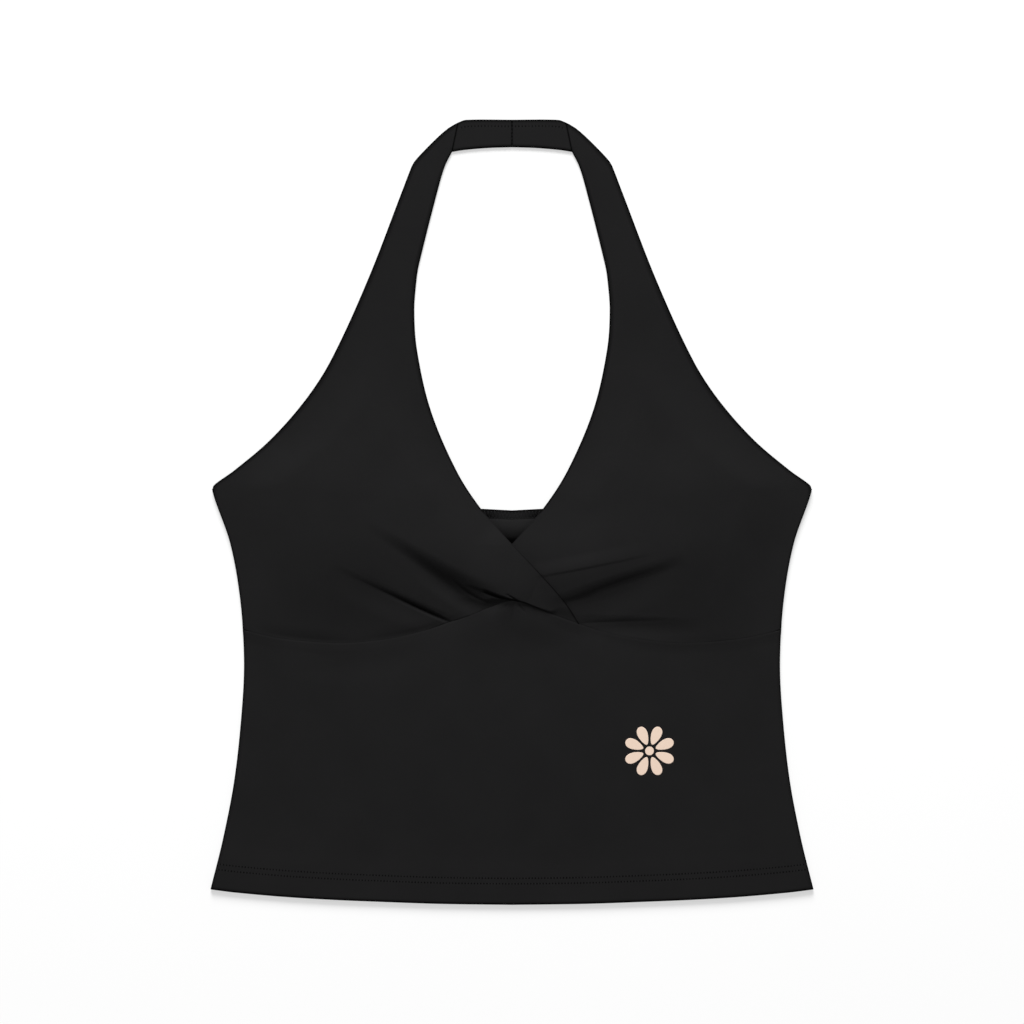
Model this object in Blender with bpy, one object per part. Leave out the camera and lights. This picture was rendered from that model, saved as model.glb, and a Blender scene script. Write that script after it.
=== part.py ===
"""A halter neck top with a crossed front, laid flat and face up.

+X runs to the right as it lies, +Y towards the neck band and +Z up from the surface.
The origin is on the surface under the middle of the garment. Sizes and tables are in
millimetres, and each mesh is made in metres. "Left" and "right" are as it lies.
"""

import math
from collections import namedtuple

import bmesh
import bpy

METRES_PER_MM = 0.001

# Cloth walls. The halter panels and the neck band are cut double, the rest is one layer.
GAP = 0.3               # between pieces, at the seams and where one lies on another
SINGLE_WALL = 1.2
DOUBLE_WALL = 1.6
HEM_TURN = 0.2          # what a turned hem adds to the single wall
BOTTOM_HEM = 17.0       # depth of the turned hem at the waist end
BACK_TOP_HEM = 6.2      # depth of the turned hem along the top of the back
HEM_STEP = 8.0          # length over which the wall thickens at a hem line
SEAM_ALLOWANCE = 8.0    # turned in under the midriff's top edge
JERSEY_COLOR = (0.0137, 0.0135, 0.0137, 1.0)
JERSEY_ROUGHNESS = 0.9

# Spacing of the points
STRAP_STEP = 9.0
BUST_STEP = 5.4
FINE_FROM = 130.0       # the panels' points start to close up at this height
FINE_RUN = 90.0         # and are at the bust's spacing this far below it
MIDRIFF_STEP = 10.0
BACK_STEP = 17.0
BAND_STEP = 8.0
NARROW_SECTION = 60.0   # a section under this width needs no point in line with the seam's peak
LEVEL_ROWS = 0.6        # two rows' points are level when they differ by under this share of a step
SHARP_ANGLE = 40        # degrees

EdgePoint = namedtuple("EdgePoint", "height half_width")
SeamPoint = namedtuple("SeamPoint", "across height")
Bump = namedtuple("Bump", "across height rise inner outer up down")
Fold = namedtuple("Fold", "name start middle end above below rise deepest")

# Free edge of a halter panel, from the underarm corner up to the neck band.
ARMHOLE_EDGE = [
    EdgePoint(14.9, 191.9),
    EdgePoint(18.0, 189.6),
    EdgePoint(26.7, 177.5),
    EdgePoint(45.9, 155.0),
    EdgePoint(71.5, 132.4),
    EdgePoint(97.1, 115.9),
    EdgePoint(148.3, 92.4),
    EdgePoint(205.9, 70.1),
    EdgePoint(218.7, 65.2),
    EdgePoint(223.8, 62.8),
    EdgePoint(231.5, 55.9),
    EdgePoint(241.5, 45.7),
    EdgePoint(246.6, 39.4),
    EdgePoint(249.3, 34.4),
]

# Side seam, from the hem corner up to the underarm corner.
SIDE_SEAM = [
    EdgePoint(-241.2, 192.8),
    EdgePoint(-208.8, 184.8),
    EdgePoint(-170.0, 177.4),
    EdgePoint(-124.3, 172.6),
    EdgePoint(-93.6, 171.4),
    EdgePoint(-55.2, 173.9),
    EdgePoint(-20.0, 180.2),
    EdgePoint(7.5, 189.8),
    EdgePoint(14.9, 191.9),
]

# Neckline edge, from its end in the under-bust seam, past the centre line, up to the band.
NECKLINE_EDGE = [
    EdgePoint(-70.9, -43.0),
    EdgePoint(-57.4, -34.1),
    EdgePoint(-40.5, -19.4),
    EdgePoint(-20.6, -0.5),
    EdgePoint(2.4, 19.8),
    EdgePoint(26.7, 35.5),
    EdgePoint(65.1, 51.9),
    EdgePoint(103.5, 60.7),
    EdgePoint(129.0, 62.5),
    EdgePoint(148.3, 61.1),
    EdgePoint(157.9, 59.6),
    EdgePoint(205.9, 47.5),
    EdgePoint(221.3, 42.9),
    EdgePoint(230.4, 38.4),
]

# Neckline edge of the right panel where it runs hidden under the left one.
HIDDEN_EDGE = [
    EdgePoint(-56.7, -4.0),
    EdgePoint(-40.0, -3.0),
    EdgePoint(-20.6, -0.5),
]
CROSSING_HEIGHT = HIDDEN_EDGE[-1].height    # where the two neckline edges meet

# Under-bust seam, from the peak at the centre out to the side seam.
UNDERBUST_SEAM = [
    SeamPoint(0.0, -56.2),
    SeamPoint(8.0, -58.0),
    SeamPoint(22.5, -64.0),
    SeamPoint(38.0, -69.6),
    SeamPoint(56.0, -75.8),
    SeamPoint(78.0, -80.7),
    SeamPoint(103.0, -83.5),
    SeamPoint(122.0, -83.2),
    SeamPoint(149.0, -80.4),
    SeamPoint(171.9, -75.3),
]

# Bottom edge, from the centre out to the hem corner.
HEM_EDGE = [
    SeamPoint(0.0, -251.0),
    SeamPoint(46.0, -250.4),
    SeamPoint(84.0, -249.1),
    SeamPoint(115.0, -247.8),
    SeamPoint(146.0, -245.9),
    SeamPoint(176.5, -243.2),
    SeamPoint(192.8, -241.2),
]

# Top edge of the back panel, from the centre out to the underarm corner.
BACK_TOP_EDGE = [
    SeamPoint(0.0, 1.1),
    SeamPoint(19.0, 2.1),
    SeamPoint(60.0, 4.0),
    SeamPoint(120.0, 8.4),
    SeamPoint(191.9, 14.9),
]

# Neck band: its top and bottom edges, from the centre seam out to where the strap joins.
BAND_TOP_EDGE = [
    SeamPoint(0.0, 251.0),
    SeamPoint(29.5, 250.9),
    SeamPoint(34.4, 249.3),
]
BAND_BOTTOM_EDGE = [
    SeamPoint(0.0, 233.4),
    SeamPoint(15.2, 232.9),
    SeamPoint(30.6, 231.6),
    SeamPoint(38.4, 230.4),
]

# How far up the neckline edge each cross section of the panel ends: pairs of heights.
JOIN_SECTION = (249.3, 230.4)       # at the neck band
UNDERARM_SECTION = (14.9, -5.0)     # at the underarm corner
SEAM_SECTION = (-75.3, -70.9)       # at the under-bust seam

# Where the front stands off the back: each cup, the crossing and the loose midriff. "inner"
# and "up" are the reaches towards the centre line and the neck, "outer" and "down" the others.
CUP = Bump(across=98.0, height=-15.0, rise=6.5, inner=112.0, outer=98.0, up=150.0, down=76.0)
CROSSING = Bump(across=0.0, height=-42.0, rise=3.2, inner=74.0, outer=74.0, up=58.0, down=50.0)
LOOSE_MIDRIFF = Bump(across=0.0, height=-140.0, rise=1.8, inner=175.0, outer=175.0, up=110.0, down=100.0)
SIDE_RUN = 44.0         # the front comes down to the back over this width along its sides
NECK_RUN = 30.0         # and part of the way down over this width along the neckline
NECK_DIP = 0.55         # which is this share of the way
NECK_DIP_RUN = 50.0     # reached this far above the crossing
LIFT_RUN = 40.0         # the panels climb over the top edge of the back in this length
LIFT_START = 3.0        # and are at full height this far outside it
TOP_HEM_CLEARED = 14.0  # and this far inside it, past the back's turned top hem
CLIMB_RUN = 26.0        # the left panel climbs over the right one in this width
SOFT_CHANGE = 1.2       # how softly the higher of two heights takes over from the lower
LOWEST_LIFT = 0.8       # a deep fold flattens out as it nears the back
FOLD_TAPER = 0.8        # how bluntly a fold ends: near 0 it ends at once, at 1 it fades like a sine

# Folds. Each lies along a curve through three points. "above" and "below" give its reach on
# either side of the curve, at its start and at its end. "deepest" is the share of its length
# at which it is deepest or highest.
LEFT_FOLDS = [
    Fold("wrap_roll", (-94, -2), (-41.5, -31.5), (10, -57), (46, 50), (7.5, 20), 3.6, 0.64),
    Fold("deep_pleat", (-82, -10), (-48, -43), (-20, -61.5), (7, 9), (10, 10), -1.1, 0.74),
    Fold("wrap_edge", (-30, -44.6), (-6, -53.0), (27, -65.4), (24, 24), (6.5, 6.5), 1.3, 0.5),
    Fold("long_crease", (-112, -36), (-74, -55), (-37, -69.5), (7.5, 7.0), (14, 11), -1.7, 0.72),
    Fold("crease_roll", (-100, -34), (-62.5, -51.5), (-34, -63), (14, 14), (6.5, 6.5), 0.5, 0.5),
]
RIGHT_FOLDS = [
    Fold("wrap_roll", (18, -55), (67, -38.6), (112, -23), (45, 45), (8.5, 10), 2.3, 0.45),
    Fold("broad_pleat", (30, -63), (68, -53.5), (112, -30), (9, 8), (14, 14), -0.7, 0.4),
    Fold("low_crease", (38, -72), (76, -74), (122, -76), (8, 9), (10, 10), -1.1, 0.4),
    Fold("upper_roll", (12, -42), (47, -34.8), (90, -25.4), (9, 9), (9, 9), 0.7, 0.4),
]
MIDRIFF_FOLDS = [
    Fold("centre_gather", (2, -60), (-1, -70), (-2, -88), (9, 9), (9, 9), -0.5, 0.5),
    Fold("left_slack", (-150, -92), (-100, -97), (-52, -88), (10, 10), (14, 14), -0.4, 0.5),
    Fold("peak_lift", (-16, -52), (20, -61.2), (56, -75.5), (9, 9), (20, 30), 1.5, 0.56),
]


def mix(a, b, share):
    return a + (b - a) * share


def eased(share):
    """0 to 1 with a soft start and end."""
    share = min(1.0, max(0.0, share))
    return share * share * (3 - 2 * share)


def smooth(rows, at):
    """The value at a place on the smooth curve through rows of (place, value), in rising order."""
    places = [row[0] for row in rows]
    values = [row[1] for row in rows]
    at = min(places[-1], max(places[0], at))
    i = max(1, sum(place < at for place in places))
    span = places[i] - places[i - 1]
    share = (at - places[i - 1]) / span

    def slope(j):
        before = max(0, j - 1)
        after = min(len(rows) - 1, j + 1)
        return (values[after] - values[before]) / (places[after] - places[before])

    rise = values[i] - values[i - 1]
    start_pull = slope(i - 1) * span - rise
    end_pull = rise - slope(i) * span
    curl = (1 - share) * start_pull + share * end_pull
    return values[i - 1] + share * rise + share * (1 - share) * curl


def spaced(start, end, step):
    """Even steps from start to end, near the given step."""
    count = max(1, math.ceil(abs(end - start) / step - 0.01))
    return [mix(start, end, i / count) for i in range(count + 1)]


def side_half_width(height):
    """Half the garment's width at a height, to the side seam or the armhole edge."""
    if height < ARMHOLE_EDGE[0].height:
        return smooth(SIDE_SEAM, height)
    return smooth(ARMHOLE_EDGE, height)


SEAM_HALF_WIDTH = side_half_width(SEAM_SECTION[0])


def underbust_height(across):
    return smooth(UNDERBUST_SEAM, abs(across))


def hem_height(across):
    return smooth(HEM_EDGE, abs(across))


def back_top_height(across):
    return smooth(BACK_TOP_EDGE, abs(across))


def bump_height(bump, across, height):
    """A smooth mound that reaches zero at the bump's own edges."""
    off_across = across - bump.across
    off_height = height - bump.height
    reach_across = bump.outer if off_across > 0 else bump.inner
    reach_height = bump.up if off_height > 0 else bump.down
    inside = 1 - (off_across / reach_across) ** 2 - (off_height / reach_height) ** 2
    return bump.rise * max(0.0, inside) ** 2


def fold_height(fold, across, height):
    """A trough or ridge along the curve through the fold's three points."""
    (x0, y0), (x1, y1), (x2, y2) = fold.start, fold.middle, fold.end
    span = math.hypot(x2 - x0, y2 - y0)
    along_x = (x2 - x0) / span
    along_y = (y2 - y0) / span
    along = (across - x0) * along_x + (height - y0) * along_y
    share = along / span
    if not 0 < share < 1:
        return 0.0
    swell = share ** (math.log(0.5) / math.log(fold.deepest))
    middle_along = (x1 - x0) * along_x + (y1 - y0) * along_y
    middle_off = (y1 - y0) * along_x - (x1 - x0) * along_y
    bow = middle_off * along * (span - along) / (middle_along * (span - middle_along))
    off = (height - y0) * along_x - (across - x0) * along_y - bow
    reach = mix(*(fold.above if off > 0 else fold.below), share)
    inside = 1 - (off / reach) ** 2
    return fold.rise * max(0.0, inside) ** 2 * math.sin(math.pi * swell) ** FOLD_TAPER


def front_air(across, height):
    """How far the front stands off the back, apart from its folds."""
    air = bump_height(CUP, abs(across), height) + bump_height(CROSSING, across, height)
    air += bump_height(LOOSE_MIDRIFF, across, height)
    from_side = side_half_width(height) - abs(across)
    from_neck = abs(across) - max(0.0, smooth(NECKLINE_EDGE, height))
    above_crossing = eased((height - CROSSING_HEIGHT) / NECK_DIP_RUN)
    dip = NECK_DIP * (1 - eased(from_neck / NECK_RUN)) * above_crossing
    return air * eased(from_side / SIDE_RUN) * (1 - dip)


def back_wall(across, height):
    """Thickness of the back panel, with its two turned hems."""
    from_top = back_top_height(across) - height
    from_bottom = height - hem_height(across)
    top = 1 - eased((from_top - BACK_TOP_HEM) / HEM_STEP)
    bottom = 1 - eased((from_bottom - BOTTOM_HEM) / HEM_STEP)
    return SINGLE_WALL + HEM_TURN * max(top, bottom)


def midriff_wall(across, height):
    """Thickness of the midriff, with its turned hem and the seam allowance at its top."""
    from_bottom = height - hem_height(across)
    from_seam = underbust_height(across) - height
    hem = HEM_TURN * (1 - eased((from_bottom - BOTTOM_HEM) / HEM_STEP))
    seam = (DOUBLE_WALL - SINGLE_WALL) * (1 - eased(from_seam / SEAM_ALLOWANCE))
    return SINGLE_WALL + hem + seam


def resting_level(across, height):
    """The lowest place for the front: on the back panel, or past its top edge on the surface."""
    past_edge = height - back_top_height(across)
    on_back = 1 - eased((past_edge - LIFT_START) / LIFT_RUN)
    over_top_hem = HEM_TURN * (1 - eased((-past_edge - TOP_HEM_CLEARED) / LIFT_RUN))
    wall = max(back_wall(across, height), SINGLE_WALL + over_top_hem)
    return on_back * (wall + GAP)


def settled(lift):
    """Lets a deep fold flatten out softly as it nears what it lies on."""
    if lift >= LOWEST_LIFT:
        return lift
    return LOWEST_LIFT * math.exp(lift / LOWEST_LIFT - 1)


def front_underside(folds, across, height):
    lift = front_air(across, height)
    if lift <= 0:
        return resting_level(across, height)
    fold = sum(fold_height(row, across, height) for row in folds)
    rested = settled(LOWEST_LIFT + lift + fold) - settled(LOWEST_LIFT)
    return resting_level(across, height) + max(0.0, rested)


def right_underside(across, height):
    return front_underside(RIGHT_FOLDS, across, height)


def higher(a, b):
    """The higher of two heights, with a soft change from one to the other."""
    return (a + b + math.hypot(a - b, SOFT_CHANGE)) / 2


def left_underside(across, height):
    """The left panel's own form, and its climb onto the right panel where they cross."""
    past_right_edge = across - right_neckline(height)
    climb = eased((past_right_edge + CLIMB_RUN + 1) / CLIMB_RUN)
    alone = front_underside(LEFT_FOLDS, across, height)
    if climb == 0:
        return alone
    below = higher(front_underside([], across, height), right_underside(across, height))
    crossed = higher(alone, below) + DOUBLE_WALL + GAP - SOFT_CHANGE / 3
    return mix(alone, crossed, climb)


def midriff_underside(across, height):
    return front_underside(MIDRIFF_FOLDS, across, height)


def full_neckline(height):
    """A panel's neckline edge at a height, on past the centre line to the under-bust seam."""
    return smooth(NECKLINE_EDGE, height)


def right_neckline(height):
    """The right panel's edge at a height: on show above the crossing, and hidden below it."""
    if height < CROSSING_HEIGHT:
        return smooth(HIDDEN_EDGE, height)
    return smooth(NECKLINE_EDGE, height)


def section_step(height):
    """Spacing of a panel's points at a height."""
    return mix(STRAP_STEP, BUST_STEP, eased((FINE_FROM - height) / FINE_RUN))


def section_heights():
    """Heights of a panel's cross sections along its outer edge, from the band to the seam."""
    heights = [JOIN_SECTION[0]]
    while heights[-1] > UNDERARM_SECTION[0]:
        heights.append(heights[-1] - section_step(heights[-1]))
    squeeze = (JOIN_SECTION[0] - UNDERARM_SECTION[0]) / (JOIN_SECTION[0] - heights[-1])
    heights = [JOIN_SECTION[0] - (JOIN_SECTION[0] - height) * squeeze for height in heights]
    return heights + spaced(UNDERARM_SECTION[0], SEAM_SECTION[0], BUST_STEP)[1:]


def section_shares(width, seam_end, step):
    """Places across a section, one of them in line with the peak of the under-bust seam."""
    peak = SEAM_HALF_WIDTH / (SEAM_HALF_WIDTH - seam_end)
    if peak >= 1 or width < NARROW_SECTION:
        return spaced(0.0, 1.0, step / width)
    return spaced(0.0, peak, step / width) + spaced(peak, 1.0, step / width)[1:]


def panel_sections(edge, low_neck):
    """Cross sections of the panel on the right, from the neck band to the under-bust seam.

    Each is a list of (across, height), from the outer edge to the given neckline edge,
    which ends in the seam at the height low_neck.
    """
    seam_end = edge(low_neck)
    sections = []
    for outer_height in section_heights():
        if outer_height > UNDERARM_SECTION[0]:
            high, low = JOIN_SECTION, UNDERARM_SECTION
        else:
            high, low = UNDERARM_SECTION, (SEAM_SECTION[0], low_neck)
        neck_height = mix(high[1], low[1], (high[0] - outer_height) / (high[0] - low[0]))
        outer = side_half_width(outer_height)
        inner = edge(neck_height)
        drop = (JOIN_SECTION[0] - outer_height) / (JOIN_SECTION[0] - SEAM_SECTION[0])
        section = []
        for share in section_shares(abs(outer - inner), seam_end, section_step(outer_height)):
            seam_bow = underbust_height(mix(SEAM_HALF_WIDTH, seam_end, share))
            seam_bow -= mix(SEAM_SECTION[0], low_neck, share)
            height = mix(outer_height, neck_height, share) + seam_bow * drop ** 2
            section.append((mix(outer, inner, share), height))
        sections.append(section)
    sections[0] = [(across + GAP / 2, height) for across, height in sections[0]]
    sections[-1] = [(across, height + GAP / 2) for across, height in sections[-1]]
    return sections


def body_rows(lines, step_down, step_across):
    """Rows across the body: one on each line, and more between lines that lie further apart.

    A line gives the height at a share of the half width, from -1 to 1.
    """
    rows = []
    for upper, lower in zip(lines, lines[1:]):
        shares_down = spaced(0.0, 1.0, step_down / (upper(1.0) - lower(1.0)))
        for down in shares_down[1 if rows else 0:]:
            width = side_half_width(mix(upper(1.0), lower(1.0), down))
            shares = spaced(0.0, 1.0, step_across / width)
            shares = [-share for share in reversed(shares)] + shares[1:]
            rows.append([(share * width, mix(upper(share), lower(share), down)) for share in shares])
    return rows


def hem_line(up_from_hem):
    """A line across the body at an even distance above its bottom edge."""
    return lambda share: hem_height(share * HEM_EDGE[-1].across) + up_from_hem


def back_top_line(down_from_edge):
    """A line across the back at an even distance below its top edge."""
    return lambda share: back_top_height(share * BACK_TOP_EDGE[-1].across) - down_from_edge


def midriff_sections():
    """Rows across the midriff, from the under-bust seam down to the hem."""
    def seam_line(share):
        return underbust_height(share * SEAM_HALF_WIDTH) - GAP / 2

    lines = [seam_line, hem_line(BOTTOM_HEM + HEM_STEP), hem_line(BOTTOM_HEM), hem_line(0.0)]
    return body_rows(lines, MIDRIFF_STEP, MIDRIFF_STEP)


def back_sections():
    """Rows across the back, from its top edge down to the hem."""
    lines = [back_top_line(0.0), back_top_line(BACK_TOP_HEM), back_top_line(BACK_TOP_HEM + HEM_STEP)]
    lines += [hem_line(BOTTOM_HEM + HEM_STEP), hem_line(BOTTOM_HEM), hem_line(0.0)]
    return body_rows(lines, BACK_STEP, BACK_STEP)


def band_sections():
    """Lines down the right half of the neck band, from the centre seam to the strap's join."""
    columns = []
    for share in spaced(0.0, 1.0, BAND_STEP / BAND_TOP_EDGE[-1].across):
        top = mix(GAP / 2, BAND_TOP_EDGE[-1].across - GAP / 2, share)
        bottom = mix(GAP / 2, BAND_BOTTOM_EDGE[-1].across - GAP / 2, share)
        top_height = smooth(BAND_TOP_EDGE, top)
        bottom_height = smooth(BAND_BOTTOM_EDGE, bottom)
        column = []
        for down in spaced(0.0, 1.0, 0.5):
            column.append((mix(top, bottom, down), mix(top_height, bottom_height, down)))
        columns.append(column)
    return columns


def mirrored(sections):
    """The same sections on the other side of the centre line."""
    return [[(-across, height) for across, height in section] for section in sections]


def strip_faces(first, second):
    """Triangles between two rows of vertices that may differ in number.

    Where both rows are level with each other, the diagonal joins the two corners that
    are nearer in height, so that it runs along a fold and not across it.
    """
    faces = []
    i = 0
    j = 0
    while i < len(first) - 1 or j < len(second) - 1:
        if i == len(first) - 1:
            advance_first = False
        elif j == len(second) - 1:
            advance_first = True
        else:
            lag = (i + 1) / (len(first) - 1) - (j + 1) / (len(second) - 1)
            to_next_first = abs(first[i + 1].co.z - second[j].co.z)
            to_next_second = abs(first[i].co.z - second[j + 1].co.z)
            level = abs(lag) * len(first) < LEVEL_ROWS
            advance_first = to_next_first < to_next_second if level else lag < 0
        if advance_first:
            faces.append((first[i], second[j], first[i + 1]))
            i += 1
        else:
            faces.append((first[i], second[j], second[j + 1]))
            j += 1
    return faces


def cloth_wall(name, sections, underside, wall, material):
    """One closed solid: a sheet through the sections, with its underside and its thickness."""
    mesh = bmesh.new()
    low_rows = []
    high_rows = []
    for section in sections:
        low_row = []
        high_row = []
        for across, height in section:
            low = underside(across, height)
            high = low + wall(across, height)
            place = (across * METRES_PER_MM, height * METRES_PER_MM)
            low_row.append(mesh.verts.new((*place, low * METRES_PER_MM)))
            high_row.append(mesh.verts.new((*place, high * METRES_PER_MM)))
        low_rows.append(low_row)
        high_rows.append(high_row)
    for row in range(len(sections) - 1):
        for face in strip_faces(high_rows[row], high_rows[row + 1]):
            mesh.faces.new(face)
        for face in strip_faces(low_rows[row], low_rows[row + 1]):
            mesh.faces.new(tuple(reversed(face)))
    starts = [(low[0], high[0]) for low, high in zip(low_rows, high_rows)]
    ends = [(low[-1], high[-1]) for low, high in zip(low_rows, high_rows)]
    last = list(zip(low_rows[-1], high_rows[-1]))
    first = list(zip(low_rows[0], high_rows[0]))
    for (low_a, high_a), (low_b, high_b) in around(starts, last, ends, first):
        mesh.faces.new((low_a, low_b, high_b, high_a))
    bmesh.ops.recalc_face_normals(mesh, faces=mesh.faces)
    data = bpy.data.meshes.new(name)
    mesh.to_mesh(data)
    mesh.free()
    data.shade_smooth()
    data.set_sharp_from_angle(angle=math.radians(SHARP_ANGLE))
    data.materials.append(material)
    obj = bpy.data.objects.new(name, data)
    bpy.context.scene.collection.objects.link(obj)
    return obj


def around(starts, last, ends, first):
    """Neighbouring pairs all the way round the edge of a sheet."""
    loop = starts + last[1:] + ends[::-1][1:] + first[::-1][1:]
    return list(zip(loop, loop[1:]))


def jersey(name):
    """Matt black stretch jersey."""
    material = bpy.data.materials.new(name)
    material.use_nodes = True
    shader = material.node_tree.nodes["Principled BSDF"]
    shader.inputs["Base Color"].default_value = JERSEY_COLOR
    shader.inputs["Roughness"].default_value = JERSEY_ROUGHNESS
    shader.inputs["Metallic"].default_value = 0.0
    return material


def double_wall(across, height):
    return DOUBLE_WALL


def on_surface(across, height):
    return 0.0


def main():
    for obj in list(bpy.data.objects):
        bpy.data.objects.remove(obj, do_unlink=True)
    left = mirrored(panel_sections(full_neckline, SEAM_SECTION[1]))
    right = panel_sections(right_neckline, HIDDEN_EDGE[0].height)
    band = band_sections()
    cloth_wall("front_panel_left", left, left_underside, double_wall, jersey("panel_left_jersey"))
    cloth_wall("front_panel_right", right, right_underside, double_wall, jersey("panel_right_jersey"))
    cloth_wall("midriff_front", midriff_sections(), midriff_underside, midriff_wall, jersey("midriff_jersey"))
    cloth_wall("back_panel", back_sections(), on_surface, back_wall, jersey("back_jersey"))
    cloth_wall("neck_band_right", band, on_surface, double_wall, jersey("band_right_jersey"))
    cloth_wall("neck_band_left", mirrored(band), on_surface, double_wall, jersey("band_left_jersey"))


main()
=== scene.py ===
import math

import bmesh
import bpy
import numpy as np
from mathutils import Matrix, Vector


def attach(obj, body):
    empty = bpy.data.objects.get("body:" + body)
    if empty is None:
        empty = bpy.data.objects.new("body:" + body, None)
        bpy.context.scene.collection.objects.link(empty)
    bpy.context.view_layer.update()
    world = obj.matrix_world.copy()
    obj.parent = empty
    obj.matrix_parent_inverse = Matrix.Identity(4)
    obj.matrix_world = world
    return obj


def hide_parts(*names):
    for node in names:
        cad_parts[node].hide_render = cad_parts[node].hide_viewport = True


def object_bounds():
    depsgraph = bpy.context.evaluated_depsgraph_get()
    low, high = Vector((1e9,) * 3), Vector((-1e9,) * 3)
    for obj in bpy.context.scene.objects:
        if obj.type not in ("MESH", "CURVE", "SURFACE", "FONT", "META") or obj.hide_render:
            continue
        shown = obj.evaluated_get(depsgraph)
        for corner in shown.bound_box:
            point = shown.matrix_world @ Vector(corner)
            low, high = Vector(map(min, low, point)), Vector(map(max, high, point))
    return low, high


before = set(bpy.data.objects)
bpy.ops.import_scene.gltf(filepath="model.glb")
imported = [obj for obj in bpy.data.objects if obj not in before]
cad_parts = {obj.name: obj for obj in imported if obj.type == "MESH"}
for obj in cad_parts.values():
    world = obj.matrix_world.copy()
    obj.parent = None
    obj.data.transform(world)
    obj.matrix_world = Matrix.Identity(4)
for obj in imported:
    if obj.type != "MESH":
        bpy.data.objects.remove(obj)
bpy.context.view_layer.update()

mm = 0.001

# A black jersey halter neck top, laid flat and face up. x runs to the right, y towards the
# neck band and z up from the surface. Tables and sizes are in millimetres, meshes in metres.
# Left and right are as it lies.

cloth = {
    "single": 1.2,          # wall of the midriff and the back
    "double": 1.6,          # wall of the halter panels and the band, which are cut double
    "hemTurn": 0.12,        # what a turned hem adds
    "bottomHem": 17.0,      # depth of the turned hem at the waist end
    "backTopHem": 6.2,      # depth of the turned hem along the top of the back
    "hemStep": 14.0,        # length over which a hem thickens
    "seamAllowance": 8.0,   # turned in under the midriff's top edge
    "layerGap": 0.3,        # between a layer and the one it lies on
    "seamMeet": 0.1,        # by which two sewn edges overlap
    "seamMeetRun": 3,       # width in which they are drawn together
    "grooveWidth": 0.45,    # of the groove that a row of stitches draws
}

# The outline. Rows are (height, half width) for the edges that run up the garment,
# and (distance across, height) for the ones that run across it.
outline = {
    "armhole": [
        (14.9, 191.9), (18.0, 189.6), (26.7, 177.5), (45.9, 155.0), (71.5, 132.4), (97.1, 115.9),
        (148.3, 92.4), (205.9, 70.1), (218.7, 65.2), (223.8, 62.8), (231.5, 55.9), (241.5, 45.7),
        (246.6, 39.4), (249.3, 34.4)],
    "side": [
        (-241.2, 192.8), (-208.8, 184.8), (-170.0, 177.4), (-124.3, 172.6), (-93.6, 171.4),
        (-55.2, 173.9), (-20.0, 180.2), (7.5, 189.8), (14.9, 191.9)],
    "neckline": [
        (-70.9, -43.0), (-57.4, -34.1), (-40.5, -19.4), (-20.6, -0.5), (2.4, 19.8), (26.7, 35.5),
        (65.1, 51.9), (103.5, 60.7), (129.0, 62.5), (148.3, 61.1), (157.9, 59.6), (205.9, 47.5),
        (221.3, 42.9), (230.4, 38.4)],
    "hiddenNeckline": [(-56.7, -4.0), (-40.0, -3.0), (-20.6, -0.5)],
    "underbust": [
        (0.0, -56.2), (8.0, -58.0), (22.5, -64.0), (38.0, -69.6), (56.0, -75.8), (78.0, -80.7),
        (103.0, -83.5), (122.0, -83.2), (149.0, -80.4), (171.9, -75.3)],
    "hem": [
        (0.0, -251.0), (46.0, -250.4), (84.0, -249.1), (115.0, -247.8), (146.0, -245.9),
        (176.5, -243.2), (192.8, -241.2)],
    "backTop": [(0.0, 1.1), (19.0, 2.1), (60.0, 4.0), (120.0, 8.4), (191.9, 14.9)],
    "bandTop": [(0.0, 251.0), (29.5, 250.9), (34.4, 249.3)],
    "bandBottom": [(0.0, 233.4), (15.2, 232.9), (30.6, 231.6), (38.4, 230.4)],
}
crossing = -20.6            # height at which the two neckline edges meet
joinEnds = (249.3, 230.4)   # outer and inner height of a panel's seam with the band
underarmEnds = (14.9, -5.0)
seamEnds = (-75.3, -70.9)

# Where the front stands off the back: each cup, the crossing and the loose midriff.
air = {
    "cup": {"x": 98, "y": -15, "rise": 6.5, "inner": 112, "outer": 98, "up": 150, "down": 76},
    "cross": {"x": 0, "y": -42, "rise": 3.2, "inner": 74, "outer": 74, "up": 58, "down": 50},
    "loose": {"x": 0, "y": -140, "rise": 1.8, "inner": 175, "outer": 175, "up": 110, "down": 100},
    "sideRun": 44,          # the front comes down to the back over this width at its sides
    "neckRun": 30,
    "neckDip": 0.55,
    "neckDipRun": 50,
    "liftRun": 40,          # the panels climb over the back's top edge in this length
    "liftStart": 3,
    "topHemCleared": 14,
    "climbRun": 26,         # the left panel climbs over the right one in this width
    "climbEarly": 1,        # and is up this far before the edge of it
    "blend": 1.2,           # how softly one height takes over from another
    "lowest": 0.8,
}

# Folds and creases: three points of the line, the reach on its upper and lower side (at its
# start and end), the rise, how far along it is deepest, and whether it is soft or sharp.
# A shade has the same columns, with the share of the light that is lost in it as its rise.
foldColumns = ("start", "middle", "end", "above", "below", "rise", "deepest", "kind")
leftFolds = [
    ((-94, -2), (-41.5, -31.5), (10, -57), (46, 50), (6.5, 20), 3.6, 0.64, "soft"),
    ((-82, -10), (-48, -43), (-20, -61.5), (5, 8), (9, 9), -1.1, 0.74, "soft"),
    ((-30, -44.6), (-6, -53.0), (27, -65.4), (24, 24), (2.4, 1.8), 1.3, 0.5, "soft"),
    ((-116, -36), (-79, -54.5), (-36, -71), (6, 5), (16, 12), -0.9, 0.5, "soft"),
    ((-100, -34), (-62.5, -54.3), (-34, -66.5), (14, 14), (4, 4), 0.4, 0.5, "soft"),
    ((-38, -57), (-17, -60), (6, -58.5), (5, 5), (9, 9), -1.2, 0.6, "soft"),
]
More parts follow.
